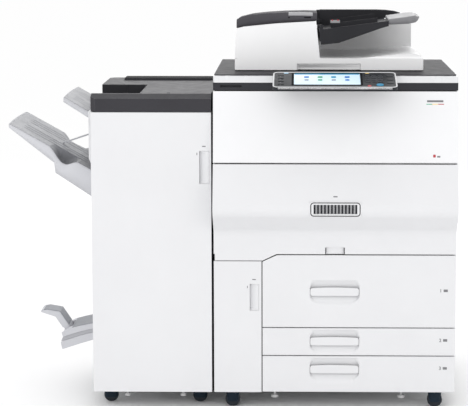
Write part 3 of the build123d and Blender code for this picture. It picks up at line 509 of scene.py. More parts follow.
def along(points, x):
    """Height of a run of (x, z) points at x, straight between them."""
    for (x0, z0), (x1, z1) in zip(points, points[1:]):
        if x <= x1:
            return z0 + (z1 - z0) * (x - x0) / (x1 - x0)
    return points[-1][1]


def smooth_along(points, x, blur=8.0):
    """The same with its corners eased."""
    samples = 7
    heights = [along(points, x + blur * (2 * k / (samples - 1) - 1)) for k in range(samples)]
    return sum(heights) / samples


def node_mm(name):
    """A node's corners in millimetres."""
    low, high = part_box(name)
    return [v / MM for v in low], [v / MM for v in high]


def face_y(node, x, z):
    """The Y of a node's front surface at an X and Z, found on its own mesh."""
    piece = NODES[node]
    corners = [piece.matrix_world @ vertex.co for vertex in piece.data.vertices]
    tree = BVHTree.FromPolygons(corners, [tuple(face.vertices) for face in piece.data.polygons])
    start = Vector((x * MM, CAD_BOX[0][1] - 1.0, z * MM))
    return tree.ray_cast(start, Vector((0, 1, 0)))[0].y / MM


FACING = Matrix(((1, 0, 0, 0), (0, 0, -1, 0), (0, 1, 0, 0), (0, 0, 0, 1)))


def front_place(x, y, z):
    """A plane that faces the operator, its X to the right, its Y up, its normal towards -Y."""
    return Matrix.Translation((x, y, z)) @ FACING


FRONT = node_mm("finisher_door")[0][1]
MACHINE_LEFT = node_mm("front_cover")[0][0]
MACHINE_RIGHT = node_mm("front_cover")[1][0]
MIDDLE = (MACHINE_LEFT + MACHINE_RIGHT) / 2


# ---- shift tray and proof tray
# The PLANE and UNDER runs are (X, Z) points from a tray's tip to the finisher's wall.
shift_low, shift_high = node_mm("shift_tray")
SHIFT_PLANE = ((-720, 898), (-567, 812), (-468, 755), (-420, 727))
SHIFT_UNDER = ((-720, 889), (-703, 878), (-556, 762), (-554, 731), (-441, 656), (-420, 655))
SHIFT_REACH = 1.0
# The hollows at the shift tray's front and rear edges, along X.
SCOOP_START, SCOOP_DEEP, SCOOP_END = -574.0, -532.0, -478.0
SCOOP_DEPTH = 30.0
SCOOP_EDGE = (0.50, 0.80)
# The sheet ribs' places, as shares of a tray's depth.
RIB_PLACES = (0.22, 0.31, 0.40, 0.60, 0.69, 0.78)
RIB_HEIGHT = 2.2
PROOF_RIB_HEIGHT = 1.6
TIP_DROP = 2.0
TIP_BOW = 3.0
SIDE_DROP = 7.0
PROOF_SIDE_DROP = 5.0
SIDE_EDGE = 0.975
TRAY_THICKNESS = 4


def rib_height(v, width=0.009):
    """1 on the crest of a sheet rib, 0 between the ribs."""
    return max(math.exp(-(((v - place) / width) ** 2)) for place in RIB_PLACES)


def shift_x(u, v):
    """X along the shift tray from its slightly bowed tip."""
    edge = abs(2 * v - 1)
    tip = shift_low[0] - SHIFT_REACH + TIP_BOW * (edge ** 2 + smoothstep(0.95, 1.0, edge))
    return tip + (shift_high[0] - 4 - tip) * u


def inset_y(low, high, v):
    """A place across a tray, kept 1 mm inside its box."""
    return low[1] + 1 + (high[1] - low[1] - 2) * v


def shift_top(u, v):
    """The shift tray's sheet side: a slope with ribs and, at each side, a hollow before the wall."""
    x = shift_x(u, v)
    y = inset_y(shift_low, shift_high, v)
    z = smooth_along(SHIFT_PLANE, x)
    edge = abs(2 * v - 1)
    scoop = smoothstep(SCOOP_START, SCOOP_DEEP, x) * (1 - smoothstep(SCOOP_DEEP + 5, SCOOP_END, x))
    z -= SCOOP_DEPTH * scoop * smoothstep(*SCOOP_EDGE, edge)
    z += RIB_HEIGHT * rib_height(v) * smoothstep(-672, -655, x) * (1 - smoothstep(-470, -455, x))
    z -= TIP_DROP * (1 - smoothstep(0.0, 0.02, u))
    side = smoothstep(SIDE_EDGE, 1.0, edge) ** 2 * smoothstep(-700, -650, x)
    z -= SIDE_DROP * side * (1 - scoop * 0.4)
    return (x, y, z)


def shift_bottom(u, v):
    """The shift tray's underside, at least the tray's thickness below its top."""
    x, y, z = shift_top(u, v)
    return (x, y, min(along(SHIFT_UNDER, x), z - TRAY_THICKNESS))


shift_piece = shell(
    "shift_tray_shell", shift_top, shift_bottom, 150, 140, GREY_TRAY, "shift_tray",
)
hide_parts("shift_tray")

proof_low, proof_high = node_mm("proof_tray")
PROOF_PLANE = ((-550, 984.5), (-515, 964.5), (-448, 925.5), (-430, 914.5))
PROOF_UNDER = ((-550, 971), (-533, 960), (-450, 907), (-430, 895))
PROOF_REACH = -2.0


def proof_top(u, v):
    """The proof tray's sheet side: a ribbed slope with lowered sides."""
    edge = abs(2 * v - 1)
    tip = proof_low[0] - PROOF_REACH + TIP_BOW * edge ** 2
    x = tip + (proof_high[0] - tip) * u
    y = inset_y(proof_low, proof_high, v)
    z = smooth_along(PROOF_PLANE, x, 5.0)
    z += PROOF_RIB_HEIGHT * rib_height(v) * smoothstep(-512, -500, x)
    z -= TIP_DROP * (1 - smoothstep(0.0, 0.04, u))
    z -= PROOF_SIDE_DROP * smoothstep(SIDE_EDGE, 1.0, edge) ** 2 * smoothstep(-525, -490, x)
    return (x, y, z)


def proof_bottom(u, v):
    """The proof tray's underside."""
    x, y, z = proof_top(u, v)
    return (x, y, min(along(PROOF_UNDER, x), z - TRAY_THICKNESS))


proof_piece = shell("proof_tray_shell", proof_top, proof_bottom, 60, 120, GREY_TRAY, "root")
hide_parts("proof_tray")


SKIN_LEAN = 0.4


def sheet_pad(name, surface, span, depth, body):
    """A darker skin, half a millimetre over a tray's sheet side: painted shade that makes the tray's top
    darker than its sides.
    """

    def place(u, v, lift):
        x, y, z = surface(between(span, u), between(depth, v))
        return (x + SKIN_LEAN * lift, y, z + lift)

    shell(
        name, lambda u, v: place(u, v, 0.6), lambda u, v: place(u, v, 0.1), 110, 110,
        GREY_SHEET_SHADE, body,
    )


TRAY_DARK = (0.085, 0.087, 0.095)
shift_middle = (shift_low[1] + shift_high[1]) / 2
# The near hollow and the foot of the slope lie in deeper shade.
shade_hollow(GREY_SHEET_SHADE, (-522, shift_low[1] + 30, 772), (72, 95, 60), TRAY_DARK)
shade_hollow(GREY_SHEET_SHADE, (-426, shift_middle, 735), (85, 420, 70), TRAY_DARK)
sheet_pad("shift_tray_sheet_shade", shift_top, (0.012, 0.995), (0.012, 0.985), "shift_tray")
sheet_pad("proof_tray_sheet_shade", proof_top, (0.02, 0.99), (0.014, 0.985), "root")

# ---- document feeder
lid_low, lid_high = node_mm("adf_feed_cover")
LID_RUN = (
    (lid_low[0], 1206), (22, 1213), (30, 1218.5), (60, 1226), (110, 1230.5), (170, 1233), (230, 1233),
    (lid_high[0], 1231.5),
)
LID_FALL = (17.0, 12.0)
LID_EDGE_DROP = 10.0
LID_CORNER = 3.0
LID_UNDER = ((lid_low[0], 1186), (40, 1191.5), (140, 1202), (268, 1210), (lid_high[0], 1210.5))


def lid_point(u, v, run, drop):
    """The lid's upper surface falls towards its rear and edges; its lower one, with no drop, does not."""
    x = lid_low[0] + (lid_high[0] - lid_low[0]) * u
    y = lid_low[1] + (lid_high[1] - lid_low[1]) * v
    edge = smoothstep(0.90, 1.0, abs(2 * v - 1))
    inside = min(max(x, lid_low[0] + LID_CORNER), lid_high[0] - LID_CORNER)
    z = smooth_along(run, inside, LID_CORNER) - drop * edge ** 2
    if drop:
        z -= between(LID_FALL, u) * smoothstep(0.1, 0.85, v)
    return (x, y, z)


lid = shell(
    "feed_cover_shell",
    lambda u, v: lid_point(u, v, LID_RUN, LID_EDGE_DROP),
    lambda u, v: lid_point(u, v, LID_UNDER, 0.0),
    70, 60, DARK_LID, "feed_cover",
)
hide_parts("adf_feed_cover")

# ---- control panel
PANEL_RISE = math.radians(13)
panel_low, panel_high = node_mm("control_panel")
PANEL_WIDTH = panel_high[0] - panel_low[0]
PANEL_DEPTH = 148.0
PANEL_FRONT_TOP = (panel_low[1], panel_high[2] - PANEL_DEPTH * math.sin(PANEL_RISE))


def on_panel(x, depth, lift=0.0):
    """A plane on the panel's sloping face: x from its left edge, depth up from its front edge."""
    turn = Matrix.Rotation(PANEL_RISE, 4, "X")
    centre = Matrix.Translation((panel_low[0] + x, PANEL_FRONT_TOP[0], PANEL_FRONT_TOP[1]))
    return centre @ turn @ Matrix.Translation((0, depth, lift))


BEZEL_CORNER = 16
BEZEL_RIM = 4.5
BEZEL_THICKNESS = 8.2
BEZEL_PROUD = 1.2
bezel_outer = rounded_outline(PANEL_WIDTH, PANEL_DEPTH, BEZEL_CORNER)
bezel_inner = rounded_outline(
    PANEL_WIDTH - 2 * BEZEL_RIM, PANEL_DEPTH - 2 * BEZEL_RIM, BEZEL_CORNER - BEZEL_RIM,
)
panel_middle = on_panel(PANEL_WIDTH / 2, PANEL_DEPTH / 2, BEZEL_PROUD - BEZEL_THICKNESS)
ring(
    "panel_bezel", bezel_outer, bezel_inner, panel_middle, BEZEL_THICKNESS, WHITE_SATIN,
    "panel", 1.4,
)

screen_low, screen_high = node_mm("touch_screen")
SCREEN_X = (screen_low[0] + screen_high[0]) / 2 - panel_low[0]
ring(
    "screen_frame", rounded_outline(214, 120, 5), rounded_outline(200, 107, 2.5),
    on_panel(SCREEN_X, 80, -0.2), 0.7, BLACK, "panel", 0.2,
)
ICONS = (ICON_BLUE, ICON_GREEN, ICON_TEAL, ICON_BLUE)
ICON_PITCH = 41
ICON_START = SCREEN_X - 62
for column, look in enumerate(ICONS):
    x = ICON_START + column * ICON_PITCH
    lower_look = ICON_GREY if column % 2 == 0 else look
    for row, (up, tint, wide) in enumerate(((100, look, 15), (72, lower_look, 13))):
        tag(
            f"icon_{column}_{row}", (wide, wide, 3.5), on_panel(x, up, 0.05), 0.3, tint,
            "panel", 0.15,
        )
tag("screen_bar", (196, 8, 1), on_panel(SCREEN_X, 129, 0.05), 0.25, ICON_TEAL, "panel", 0.1)
LAMPS = [(40, 137, KEY_PALE, 14), (286, 137, KEY_AMBER, 12)]
LAMPS += [(23, depth, MARK, 5) for depth in (20, 45, 75, 105)]
for index, (x, depth, look, width) in enumerate(LAMPS):
    tag(
        f"lamp_{index}", (width, min(width, 5), 2), on_panel(x, depth, 0), 0.9, look,
        "panel", 0.3,
    )

# ---- tray fronts with dished grips
GRIP_SHARE = 0.1006
GRIP_HALF = (MACHINE_RIGHT - MACHINE_LEFT) * GRIP_SHARE
DISH_HALF = 37.5
DISH_DEPTH = 12.5
DISH_CORNER = 26.0
DISH_MARGIN = 1.6
DISH_TURN = 15.0
DISH_TURN_RUN = 24.0
DISH_WALL = 2.4
DISH_FADE = 14.0
DISH_ARC = 0.85
# The level of each tray's grip.
GRIP_PLACES = {"tray_1": 376.0, "tray_2": 219.0, "tray_3": 130.0}
# Tray 1's face slopes down towards its left end, to the left of this X.
BEVEL_RUN = 147.0
BEVEL_DROP = 21.0
BEVEL_BLEND = 60
TRAY_1_RISE = 1.5
EDGE = 1.3
BAR_SETBACK = 4.2
BAR_THICKNESS = 4.0


def fine_steps(low, high, dense_low, dense_high, fine=2.0, coarse=9.0):
    """Places from low to high, close together at the ends and inside the dense part."""
    places = [low, low + 0.25, low + 0.6, low + EDGE]
    value = low + EDGE
    while value < high - EDGE - 0.5:
        value += fine if dense_low - fine < value < dense_high + fine else coarse
        places.append(min(value, high - EDGE))
    return places + [high - 0.6, high - 0.25, high]


def edge_round(distance):
    """How far a rounded edge falls back this close to its corner."""
    if distance >= EDGE:
        return 0.0
    return EDGE - math.sqrt(max(EDGE ** 2 - (EDGE - distance) ** 2, 0.0))


def dish(dx, dz):
    """Depth of the grip's hollow, with upright walls beside the bar and rounded corners below it."""
    across = GRIP_HALF + DISH_MARGIN - abs(dx)
    if dz < -DISH_TURN:
        across -= DISH_CORNER * (1 - math.sqrt(max(1 - ((dz + DISH_TURN) / DISH_TURN_RUN) ** 2, 0.0)))
    wall = DISH_WALL + DISH_FADE * smoothstep(12, 34, abs(dz))
    side = smoothstep(0.0, wall, across)
    arc = max(1 - (dz / DISH_HALF) ** 2, 0.0)
    return DISH_DEPTH * side * arc ** DISH_ARC


BAR_HALF_HEIGHT = 12.4
BAR_CORNER = 7.0
BAR_BOW = 2.2
BAR_STEPS = 8


def bar_outline():
    """A grip bar's outline: level below, slightly bowed on top, with round corners."""
    straight = GRIP_HALF - BAR_CORNER
    centre = BAR_HALF_HEIGHT - BAR_CORNER

    def corner(x, z_side, start, turn):
        angle = math.radians(start + 90 / BAR_STEPS * turn)
        return (x + BAR_CORNER * math.cos(angle), z_side * centre + BAR_CORNER * math.sin(angle))

    points = [(-straight + 2 * straight * step / 24, -BAR_HALF_HEIGHT) for step in range(25)]
    for z_side, start in ((-1, -90), (1, 0)):
        points += [corner(straight, z_side, start, turn) for turn in range(1, BAR_STEPS + 1)]
    for step in range(1, 24):
        dx = straight - 2 * straight * step / 24
        points.append((dx, BAR_HALF_HEIGHT + BAR_BOW * (1 - (dx / straight) ** 2)))
    for z_side, start in ((1, 90), (-1, 180)):
        points += [corner(-straight, z_side, start, turn) for turn in range(BAR_STEPS)]
    return points


def tray_front(tray):
    """A tray's front: rounded at its edges and dished behind its grip bar."""
    low, high = node_mm(f"{tray}_front")
    if tray == "tray_1":
        high[2] += TRAY_1_RISE
    grip = GRIP_PLACES[tray]
    xs = fine_steps(low[0], high[0], MIDDLE - GRIP_HALF - 8, MIDDLE + GRIP_HALF + 8)
    zs = fine_steps(low[2], high[2], grip - DISH_HALF - 2, grip + DISH_HALF + 2, 1.6)
    columns, rows = len(xs) - 1, len(zs) - 1

    def top_at(x):
        if tray != "tray_1":
            return high[2]
        return high[2] - BEVEL_DROP * max(BEVEL_RUN - x, 0.0) / (BEVEL_RUN - low[0])

    def face(u, v):
        x, level = xs[round(u * columns)], zs[round(v * rows)]
        start = high[2] - BEVEL_BLEND
        z = min(level, start) + max(level - start, 0.0) * (top_at(x) - start) / BEVEL_BLEND
        back = edge_round(min(x - low[0], high[0] - x, z - low[2], max(top_at(x) - z, 0.0)))
        return (x, low[1] + back + dish(x - MIDDLE, z - grip), z)

    def rear(u, v):
        x, _, z = face(u, v)
        return (x, high[1] - 0.2, z)

    front = shell(f"{tray}_face", face, rear, columns, rows, WHITE, tray)
    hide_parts(f"{tray}_front")
    outline = bar_outline()
    bar_place = front_place(MIDDLE, low[1] + BAR_SETBACK, grip)
    slab(f"{tray}_grip_bar", outline, bar_place, BAR_THICKNESS, WHITE, tray, 1.5)
    # A dark grey outline just behind each grip bar and a little wider than it: painted shadow in the gap
    # round the bar.
    back = [(dx * 1.016, dz * 1.01 + 0.3) for dx, dz in outline]
    shadow_place = front_place(MIDDLE, low[1] + BAR_SETBACK + 0.8, grip)
    slab(f"{tray}_grip_shadow_line", back, shadow_place, 1.2, GAP_SHADE_GREY, tray, 0.3)


for tray in GRIP_PLACES:
    tray_front(tray)

# ---- vent grille surround, notch, and strips of painted shade in the gaps by a door and beside the finisher
grille_low, grille_high = node_mm("vent_grille")
GRILLE_X = (grille_low[0] + grille_high[0]) / 2
GRILLE_Z = (grille_low[2] + grille_high[2]) / 2
GRILLE_WIDTH = grille_high[0] - grille_low[0]
GRILLE_HEIGHT = grille_high[2] - grille_low[2]


def grille_outline(grow, corner):
    """The grille's outline, grown or shrunk all round."""
    return rounded_outline(GRILLE_WIDTH + grow, GRILLE_HEIGHT + grow, corner)


grille_face = front_place(GRILLE_X, grille_low[1] - 0.1, GRILLE_Z)
ring(
    "grille_corners", grille_outline(1.2, 0.4), grille_outline(-1.2, 10.0), grille_face, 0.5, WHITE,
    "front_cover", 0.1,
)
# A black ring round the slats: painted shadow in the gap round the grille insert.
ring(
    "grille_gap_shade", grille_outline(-1.2, 10.0), grille_outline(-6.6, 7.6), grille_face, 0.4, BLACK,
    "front_cover", 0.08,
)
SLIT_PITCH = 10.6
SLIT_COUNT = 13
for index in range(SLIT_COUNT - 1):
    x = GRILLE_X + (index - (SLIT_COUNT - 2) / 2) * SLIT_PITCH
    tag(
        f"grille_slat_{index}", (4.2, 28.6, 1.2), front_place(x, grille_low[1] + 0.3, GRILLE_Z), 0.7,
        SLAT_GREY, "front_cover", 0.4,
    )
# A dark plate behind the slats: painted shade of the vent's inside.
tag(
    "grille_inside_shade", (GRILLE_WIDTH - 12, GRILLE_HEIGHT - 10, 3),
    front_place(GRILLE_X, grille_high[1] + 1.2, GRILLE_Z), 1.0, KEY_DARK, "front_cover", 0.3,
)
MARK_Z = 685.0
BULGE_LEAN, BULGE_RISE = 49.0, 143.5
bulge_turn = Matrix.Rotation(-math.atan2(BULGE_LEAN, BULGE_RISE), 4, "X")
mark_y = face_y("front_cover", GRILLE_X, MARK_Z) + 0.1
mark_place = Matrix.Translation((GRILLE_X, mark_y, MARK_Z)) @ bulge_turn @ FACING
tag("grille_mark", (13, 3.8, 1.6), mark_place, 0.5, MARK, "front_cover", 0.1)
# Thin black strips at the finger notch's sides: painted shade on its side walls.
NOTCH_SHADE_SIDES = {"left": 298.4, "right": 355.6}
NOTCH_Z = 506
for side, x in NOTCH_SHADE_SIDES.items():
    tag(
        f"notch_side_shade_{side}", (2.8, 20, 1.2), front_place(x, FRONT + 0.4, NOTCH_Z), 0.9, BLACK,
        "front_cover", 0.15,
    )
# A black strip behind the door gap: painted shade that keeps the gap dark.
DOOR_GAP = (101.0, FRONT + 12, 264)
tag("door_gap_shade_strip", (2.6, 410, 1.0), front_place(*DOOR_GAP), 6, BLACK, "root", 0.5)
# A black strip deep in the gap between the finisher and the copier: painted shade of the gap.
STRIP_LOW, STRIP_HIGH = 58.0, 996.0
strip_x = (node_mm("finisher_door")[1][0] + MACHINE_LEFT) / 2
strip_middle = front_place(strip_x, FRONT + 40, (STRIP_LOW + STRIP_HIGH) / 2)
tag(
    "finisher_gap_shade", (5.2, STRIP_HIGH - STRIP_LOW, 1.5), strip_middle, 24, BLACK, "root",
    0.8,
)

# ---- door grips
GRIP_LIP = 0.05
GRIP_POCKET = 12.5
# Each door grip's extent along X and along Z.
DOOR_GRIPS = {
    "finisher_door": ((-91.6, -61.4), (715.4, 816.6)),
    "lower_left_door": ((63.4, 91.1), (317.4, 400.6)),
}
for door, (span, rise) in DOOR_GRIPS.items():

    def grip_floor(u, v):
        lip = smoothstep(0.0, GRIP_LIP, v) * smoothstep(0.0, GRIP_LIP, 1 - v)
        y = FRONT + 1.2 + GRIP_POCKET * (1 - smoothstep(-0.25, 1.0, u)) * lip
        return (between(span, u), y, between(rise, v))

    def grip_under(u, v):
        return (between(span, u), FRONT + 15.6, between(rise, v))

    shell(f"{door}_grip_floor", grip_floor, grip_under, 18, 30, WHITE, door)
    for kind, size, x, z in (
        ("mark", (11, 3, 1), sum(span) / 2 - 1, rise[1] + 14.5),
        ("tick", (2, 8, 0.9), span[0] - 7.5, rise[1] - 9),
    ):
        tag(
            f"{door}_grip_{kind}", size, front_place(x, FRONT - 0.05, z), 0.35, MARK,
            door, 0.08,
        )

# ---- finisher top
SLOT_Z = (958.0, 988.5)
SLOT_Y = FRONT + 346.8
for side, x0, x1 in (("left", -425.0, -345.5), ("right", -343.5, -279.0)):
    tag(
        f"exit_slot_wall_{side}", (x1 - x0, SLOT_Z[1] - SLOT_Z[0], 1.2),
        front_place((x0 + x1) / 2, SLOT_Y, sum(SLOT_Z) / 2), 2.2, TABLE_DARK, "root", 0.5,
    )
TOP_LATCHES = ((-222, 250, 989.4), (-140, 250, 989.4), (-190, -215, 989.4))
for index, place in enumerate(TOP_LATCHES):
    tag(f"top_latch_{index}", (10, 5, 2), Matrix.Translation(place), 1.4, BLACK, "root", 0.4)

# A thin black pad that darkens the top of the finisher's rear rim.
RIM_TOP_PAD = Matrix.Translation((-212.75, 280, 996.05))
tag("rear_rim_dark_top", (314, 87, 2.0), RIM_TOP_PAD, 0.5, BLACK, "root", 0.15)

# ---- feeder details
ext_low, ext_high = node_mm("table_extension")
ARM_LEFT = 499.0
NOSE = ext_high[0] - 4.0
ARM_LINE = ((490, 1209.5), (600, 1224.0))
ARM_NARROWING = 26.0


def arm_side(v):
    """Plan narrowing of the extension's nose towards its front and rear corners."""
    return ARM_NARROWING * smoothstep(0.72, 1.0, abs(2 * v - 1)) ** 2


def arm_top(u, v):
    """The extension's upper side, falling at its nose and along its front and rear edges."""
    x = ARM_LEFT + (NOSE - arm_side(v) - ARM_LEFT) * u
    y = ext_low[1] - 1.5 + (ext_high[1] - ext_low[1] + 2) * v
    drop = 7.0 * smoothstep(0.86, 1.0, u) ** 2 + 5.0 * smoothstep(0.94, 1.0, abs(2 * v - 1)) ** 2
    return (x, y, along(ARM_LINE, x) - drop)


def arm_bottom(u, v):
    """The extension's underside, thicker towards its nose and turned up at the very end."""
    x, y, z = arm_top(u, v)
    thick = 17.0 + 6.0 * u
    edge = 7.0 * smoothstep(0.88, 1.0, u) ** 2
    return (x, y, min(along(ARM_LINE, x) - thick + edge, z - 3))


shell("extension_arm", arm_top, arm_bottom, 40, 60, GREY_ARM, "extension")

RIM_LINE = ((470, 1226.0), (500, 1225.0), (530, 1221.5), (548, 1216.0))
RIM_Y = (232, 260)


def rim_top(u, v):
    """The end of the document table's rear rim, running down to the right."""
    x = between((RIM_LINE[0][0], RIM_LINE[-1][0]), u)
    return (x, between(RIM_Y, v), smooth_along(RIM_LINE, x, 4.0))


def rim_bottom(u, v):
    """The rim end's underside."""
    x, y, z = rim_top(u, v)
    return (x, y, min(z - 3, 1202 + 3 * u))


shell("table_rim_end", rim_top, rim_bottom, 20, 6, TABLE_DARK, "table")
LABEL_RUN = (0.645, 0.945)
LABEL_DEPTH = (0.008, 0.055)


def label_top(u, v, lift=0.7):
    """The label lies on the lid's rounded front edge."""
    x, y, z = lid_point(between(LABEL_RUN, u), between(LABEL_DEPTH, v), LID_RUN, LID_EDGE_DROP)
    return (x, y - lift, z + lift)


shell(
    "feed_cover_label", label_top, lambda u, v: label_top(u, v, 0.1), 12, 8, PALE_LABEL,
    "feed_cover",
)
for index, (x, wide) in enumerate(((183, 5), (241, 22))):
    tag(
        f"feed_cover_slot_{index}", (wide, 3.4, 1.4), front_place(x, lid_low[1] + 0.2, 1218.6), 0.5, BLACK,
        "feed_cover", 0.1,
    )
guide_x, guide_y, _ = node_mm("front_guide")[0]
tag(
    "guide_label", (30, 9, 1.5), front_place(guide_x + 16, guide_y - 0.1, 1204), 0.4, PALE_LABEL,
    "front_guide", 0.1,
)
# The guide's arrows are red print in the stop key's glowing red, so they glow a little: painted light.
for index, dx in enumerate((7.0, 25.0)):
    tag(
        f"guide_arrow_{index}", (5, 4, 1.8), front_place(guide_x + dx, guide_y - 0.5, 1208), 0.3, KEY_RED,
        "front_guide", 0.08,
    )

CHEEK_X = (271.6, 290.5)
CHEEK_Z = (1103.0, 1222.5)
tag(
    "feeder_rear_cheek", (CHEEK_X[1] - CHEEK_X[0], CHEEK_Z[1] - CHEEK_Z[0], 1.0),
    front_place(sum(CHEEK_X) / 2, 303, sum(CHEEK_Z) / 2), 5, TABLE_DARK, "adf", 0.6,
)
LUG_X, LUG_Z, LUG_REACH = 284.0, 1190.0, 5.25
LUG_LEFT = 271.2
lug_outline = [(LUG_LEFT, LUG_Z + LUG_REACH)]
for turn in range(9):
    angle = math.radians(90 - 22.5 * turn)
    lug_outline.append((LUG_X + LUG_REACH * math.cos(angle), LUG_Z + LUG_REACH * math.sin(angle)))
lug_outline.append((LUG_LEFT, LUG_Z - LUG_REACH))
for side, y_near, y_far in (("front", -113.7, -103.7), ("rear", 219.7, 229.7)):
    prism(f"table_lug_cap_{side}", lug_outline, y_near, y_far, TABLE_DARK, "adf", "dark_cover", 0.3)
PIN_CAP = front_place(LUG_X, -118.55, LUG_Z)
tag("table_pin_cap", (4.0, 4.0, 1.95), PIN_CAP, 0.5, TABLE_DARK, "adf", 0.1)

# The lift recess's extent, and how far its lining lies behind the feeder's front.
LIFT_X, LIFT_Z = (208.6, 407.4), (1054.6, 1073.4)
LIFT_SET_BACK = 3.0
LIFT_DEPTH = 10.0
LIFT_CORNER = 0.03
LIFT_BACK = 23.6


def lift_face(u, v):
    """The recess's lining, deepest at its lower left."""
    corner = smoothstep(0.0, LIFT_CORNER, u) * smoothstep(0.0, LIFT_CORNER, 1 - u)
    depth = LIFT_SET_BACK
    if v < 1:
        depth += LIFT_DEPTH * corner * (1 - 0.85 * u) * smoothstep(1.0, 0.25, v)
    return (between(LIFT_X, u), lid_low[1] + depth, between(LIFT_Z, v))


def lift_rear(u, v):
    """The flat back of the lining."""
    return (between(LIFT_X, u), lid_low[1] + LIFT_BACK, between(LIFT_Z, v))


# The lining takes the brightened feeder white: painted light against the shade inside the recess.
shell("lift_grip_lining", lift_face, lift_rear, 60, 12, WHITE_FEEDER_BRIGHTENED, "adf")

# ---- generic badge and status marks
BADGE_Z = 963.0
BADGE_LEFT = 604.0
COVER_LEAN, COVER_RISE = 30.0, 219.0
cover_low, cover_high = node_mm("toner_cover")
cover_turn = Matrix.Rotation(-math.atan2(COVER_LEAN, COVER_RISE), 4, "X")


def cover_place(x, z):
    """A plane on the toner cover's sloping face."""
    y = FRONT - COVER_LEAN * (cover_high[2] - z) / (cover_high[2] - cover_low[2])
    return Matrix.Translation((x, y + 0.2, z)) @ cover_turn @ FACING


# The badge's coloured strips and the red mark are print, made in the glowing key and icon colours, so they
# also glow a little: painted light.
COVER_MARKS = [("badge_bar", (50, 6, 1.2), BADGE_LEFT + 27, BADGE_Z + 9, MARK)]
for index, look in enumerate((ICON_GREEN, KEY_AMBER, KEY_RED)):
    COVER_MARKS.append((f"badge_strip_{index}", (18, 2.4, 0.6), BADGE_LEFT + 9 + index * 18, BADGE_Z, look))
COVER_MARKS += [
    ("cover_mark_red", (8, 9, 2), 629, 806, KEY_RED),
    ("cover_mark_grey", (10, 5, 1.5), 642, 804, MARK),
]
for name, size, x, z, look in COVER_MARKS:
    tag(name, size, cover_place(x, z), 0.45, look, "toner_cover", 0.1)

# ---- booklet tray sides and fence paddle
book_low, book_high = node_mm("booklet_tray")
fence_low, fence_high = node_mm("booklet_fence")
NEAR = book_low[1] - 6.0
WALL_X = book_high[0] - 0.6
UPPER_BAND = (
    (-549, 182), (-553, 197), (-528, 209), (-490, 219), (WALL_X, 232.3), (WALL_X, 215.5), (-490, 201),
)
GROOVE_BAND = ((-555, 166), (-549, 182), (-490, 201), (WALL_X, 215.5), (WALL_X, 203), (-490, 187))
LOWER_BAND = ((-551, 141), (-556, 163), (-554, 166), (-490, 187), (WALL_X, 203), (WALL_X, 180), (-490, 161))
for part, outline, y_near, gap, look, edge in (
    ("upper_band", UPPER_BAND, NEAR, 0.2, GREY_TRAY, 1.2),
    ("groove", GROOVE_BAND, NEAR + 4.5, 0.4, GREY_GROOVE, 0.6),
    ("lower_band", LOWER_BAND, NEAR, 0.2, GREY_TRAY, 1.2),
):
    prism(f"booklet_{part}", outline[::-1], y_near, book_low[1] - gap, look, "root", "grey_tray", edge)
BOOK_TOP = ((-519, 211.4), (-490, 219.3), (WALL_X, 232.6))


def book_top(u, v, lift=0.5):
    """A darker skin over the booklet tray's sheet side: painted shade, where the finisher's body shades the
    tray's top.
    """
    x = between((BOOK_TOP[0][0], WALL_X), u)
    return (x, NEAR + 3 + (book_high[1] - NEAR - 5) * v, along(BOOK_TOP, x) + lift)


shell("booklet_top_shade_pad", book_top, lambda u, v: book_top(u, v, 0.05), 16, 10, GREY_DARK_AND_SHADE, "root")

PADDLE_Y = (fence_low[1] - 0.4, fence_high[1] + 0.4)
PADDLE = ((-553, 204), (-577, 240), (-626, 256), (-624, 259.5), (-604, 263.5), (-562, 256.5), (-530.5, 209))
prism("fence_paddle", PADDLE[::-1], *PADDLE_Y, GREY_TRAY, "booklet_fence", "grey_tray", 2.0)
PAD_MARGIN = 3.0
PADDLE_RUN = ((-622, 260.2), (-604, 263.7), (-562.3, 256.6), (-533.2, 213))


def paddle_top(u, v, lift=0.8):
    """A darker skin over the paddle's sheet side: painted shade on its top."""
    place = u * (len(PADDLE_RUN) - 1)
    index = min(int(place), len(PADDLE_RUN) - 2)
    first, second = PADDLE_RUN[index], PADDLE_RUN[index + 1]
    part = place - index
    x, z = (between(pair, part) for pair in zip(first, second))
    y = PADDLE_Y[0] + PAD_MARGIN + (PADDLE_Y[1] - PADDLE_Y[0] - 2 * PAD_MARGIN) * v
    return (x + SKIN_LEAN * lift, y, z + lift)


shell(
    "fence_sheet_shade_pad", paddle_top, lambda u, v: paddle_top(u, v, 0.2), 24, 8, GREY_DARK_AND_SHADE,
    "booklet_fence",
)
EXIT_LIP = ((-427, 300), (-431, 299), (-435, 303), (-427, 320))
prism("booklet_exit_lip", EXIT_LIP[::-1], NEAR, book_high[1], GREY_DARK_AND_SHADE, "root", "grey_tray", 0.6)

# ---- marks and small prints
NUMBER_SIZE = 15
MARK_RISE = 5.5
for index, tray in enumerate(GRIP_PLACES, 1):
    mark_level = GRIP_PLACES[tray] + MARK_RISE
    curve = bpy.data.curves.new(f"{tray}_number", "FONT")
    curve.body = str(index)
    curve.size = NUMBER_SIZE * MM
    curve.offset = 0.25 * MM
    curve.extrude = 0.15 * MM
    number = bpy.data.objects.new(f"{tray}_number", curve)
    foot = Vector((MACHINE_RIGHT - 50, FRONT - 0.1, mark_level - 5))
    number.matrix_world = Matrix.Translation(foot * MM) @ FACING
    SCENE.collection.objects.link(number)
    curve.materials.append(MARK)
    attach(number, tray)
    mark_place = front_place(MACHINE_RIGHT - 31, FRONT - 0.1, mark_level)
    tag(f"{tray}_size_mark", (13, 8, 1), mark_place, 0.25, MARK, tray, 0.08)


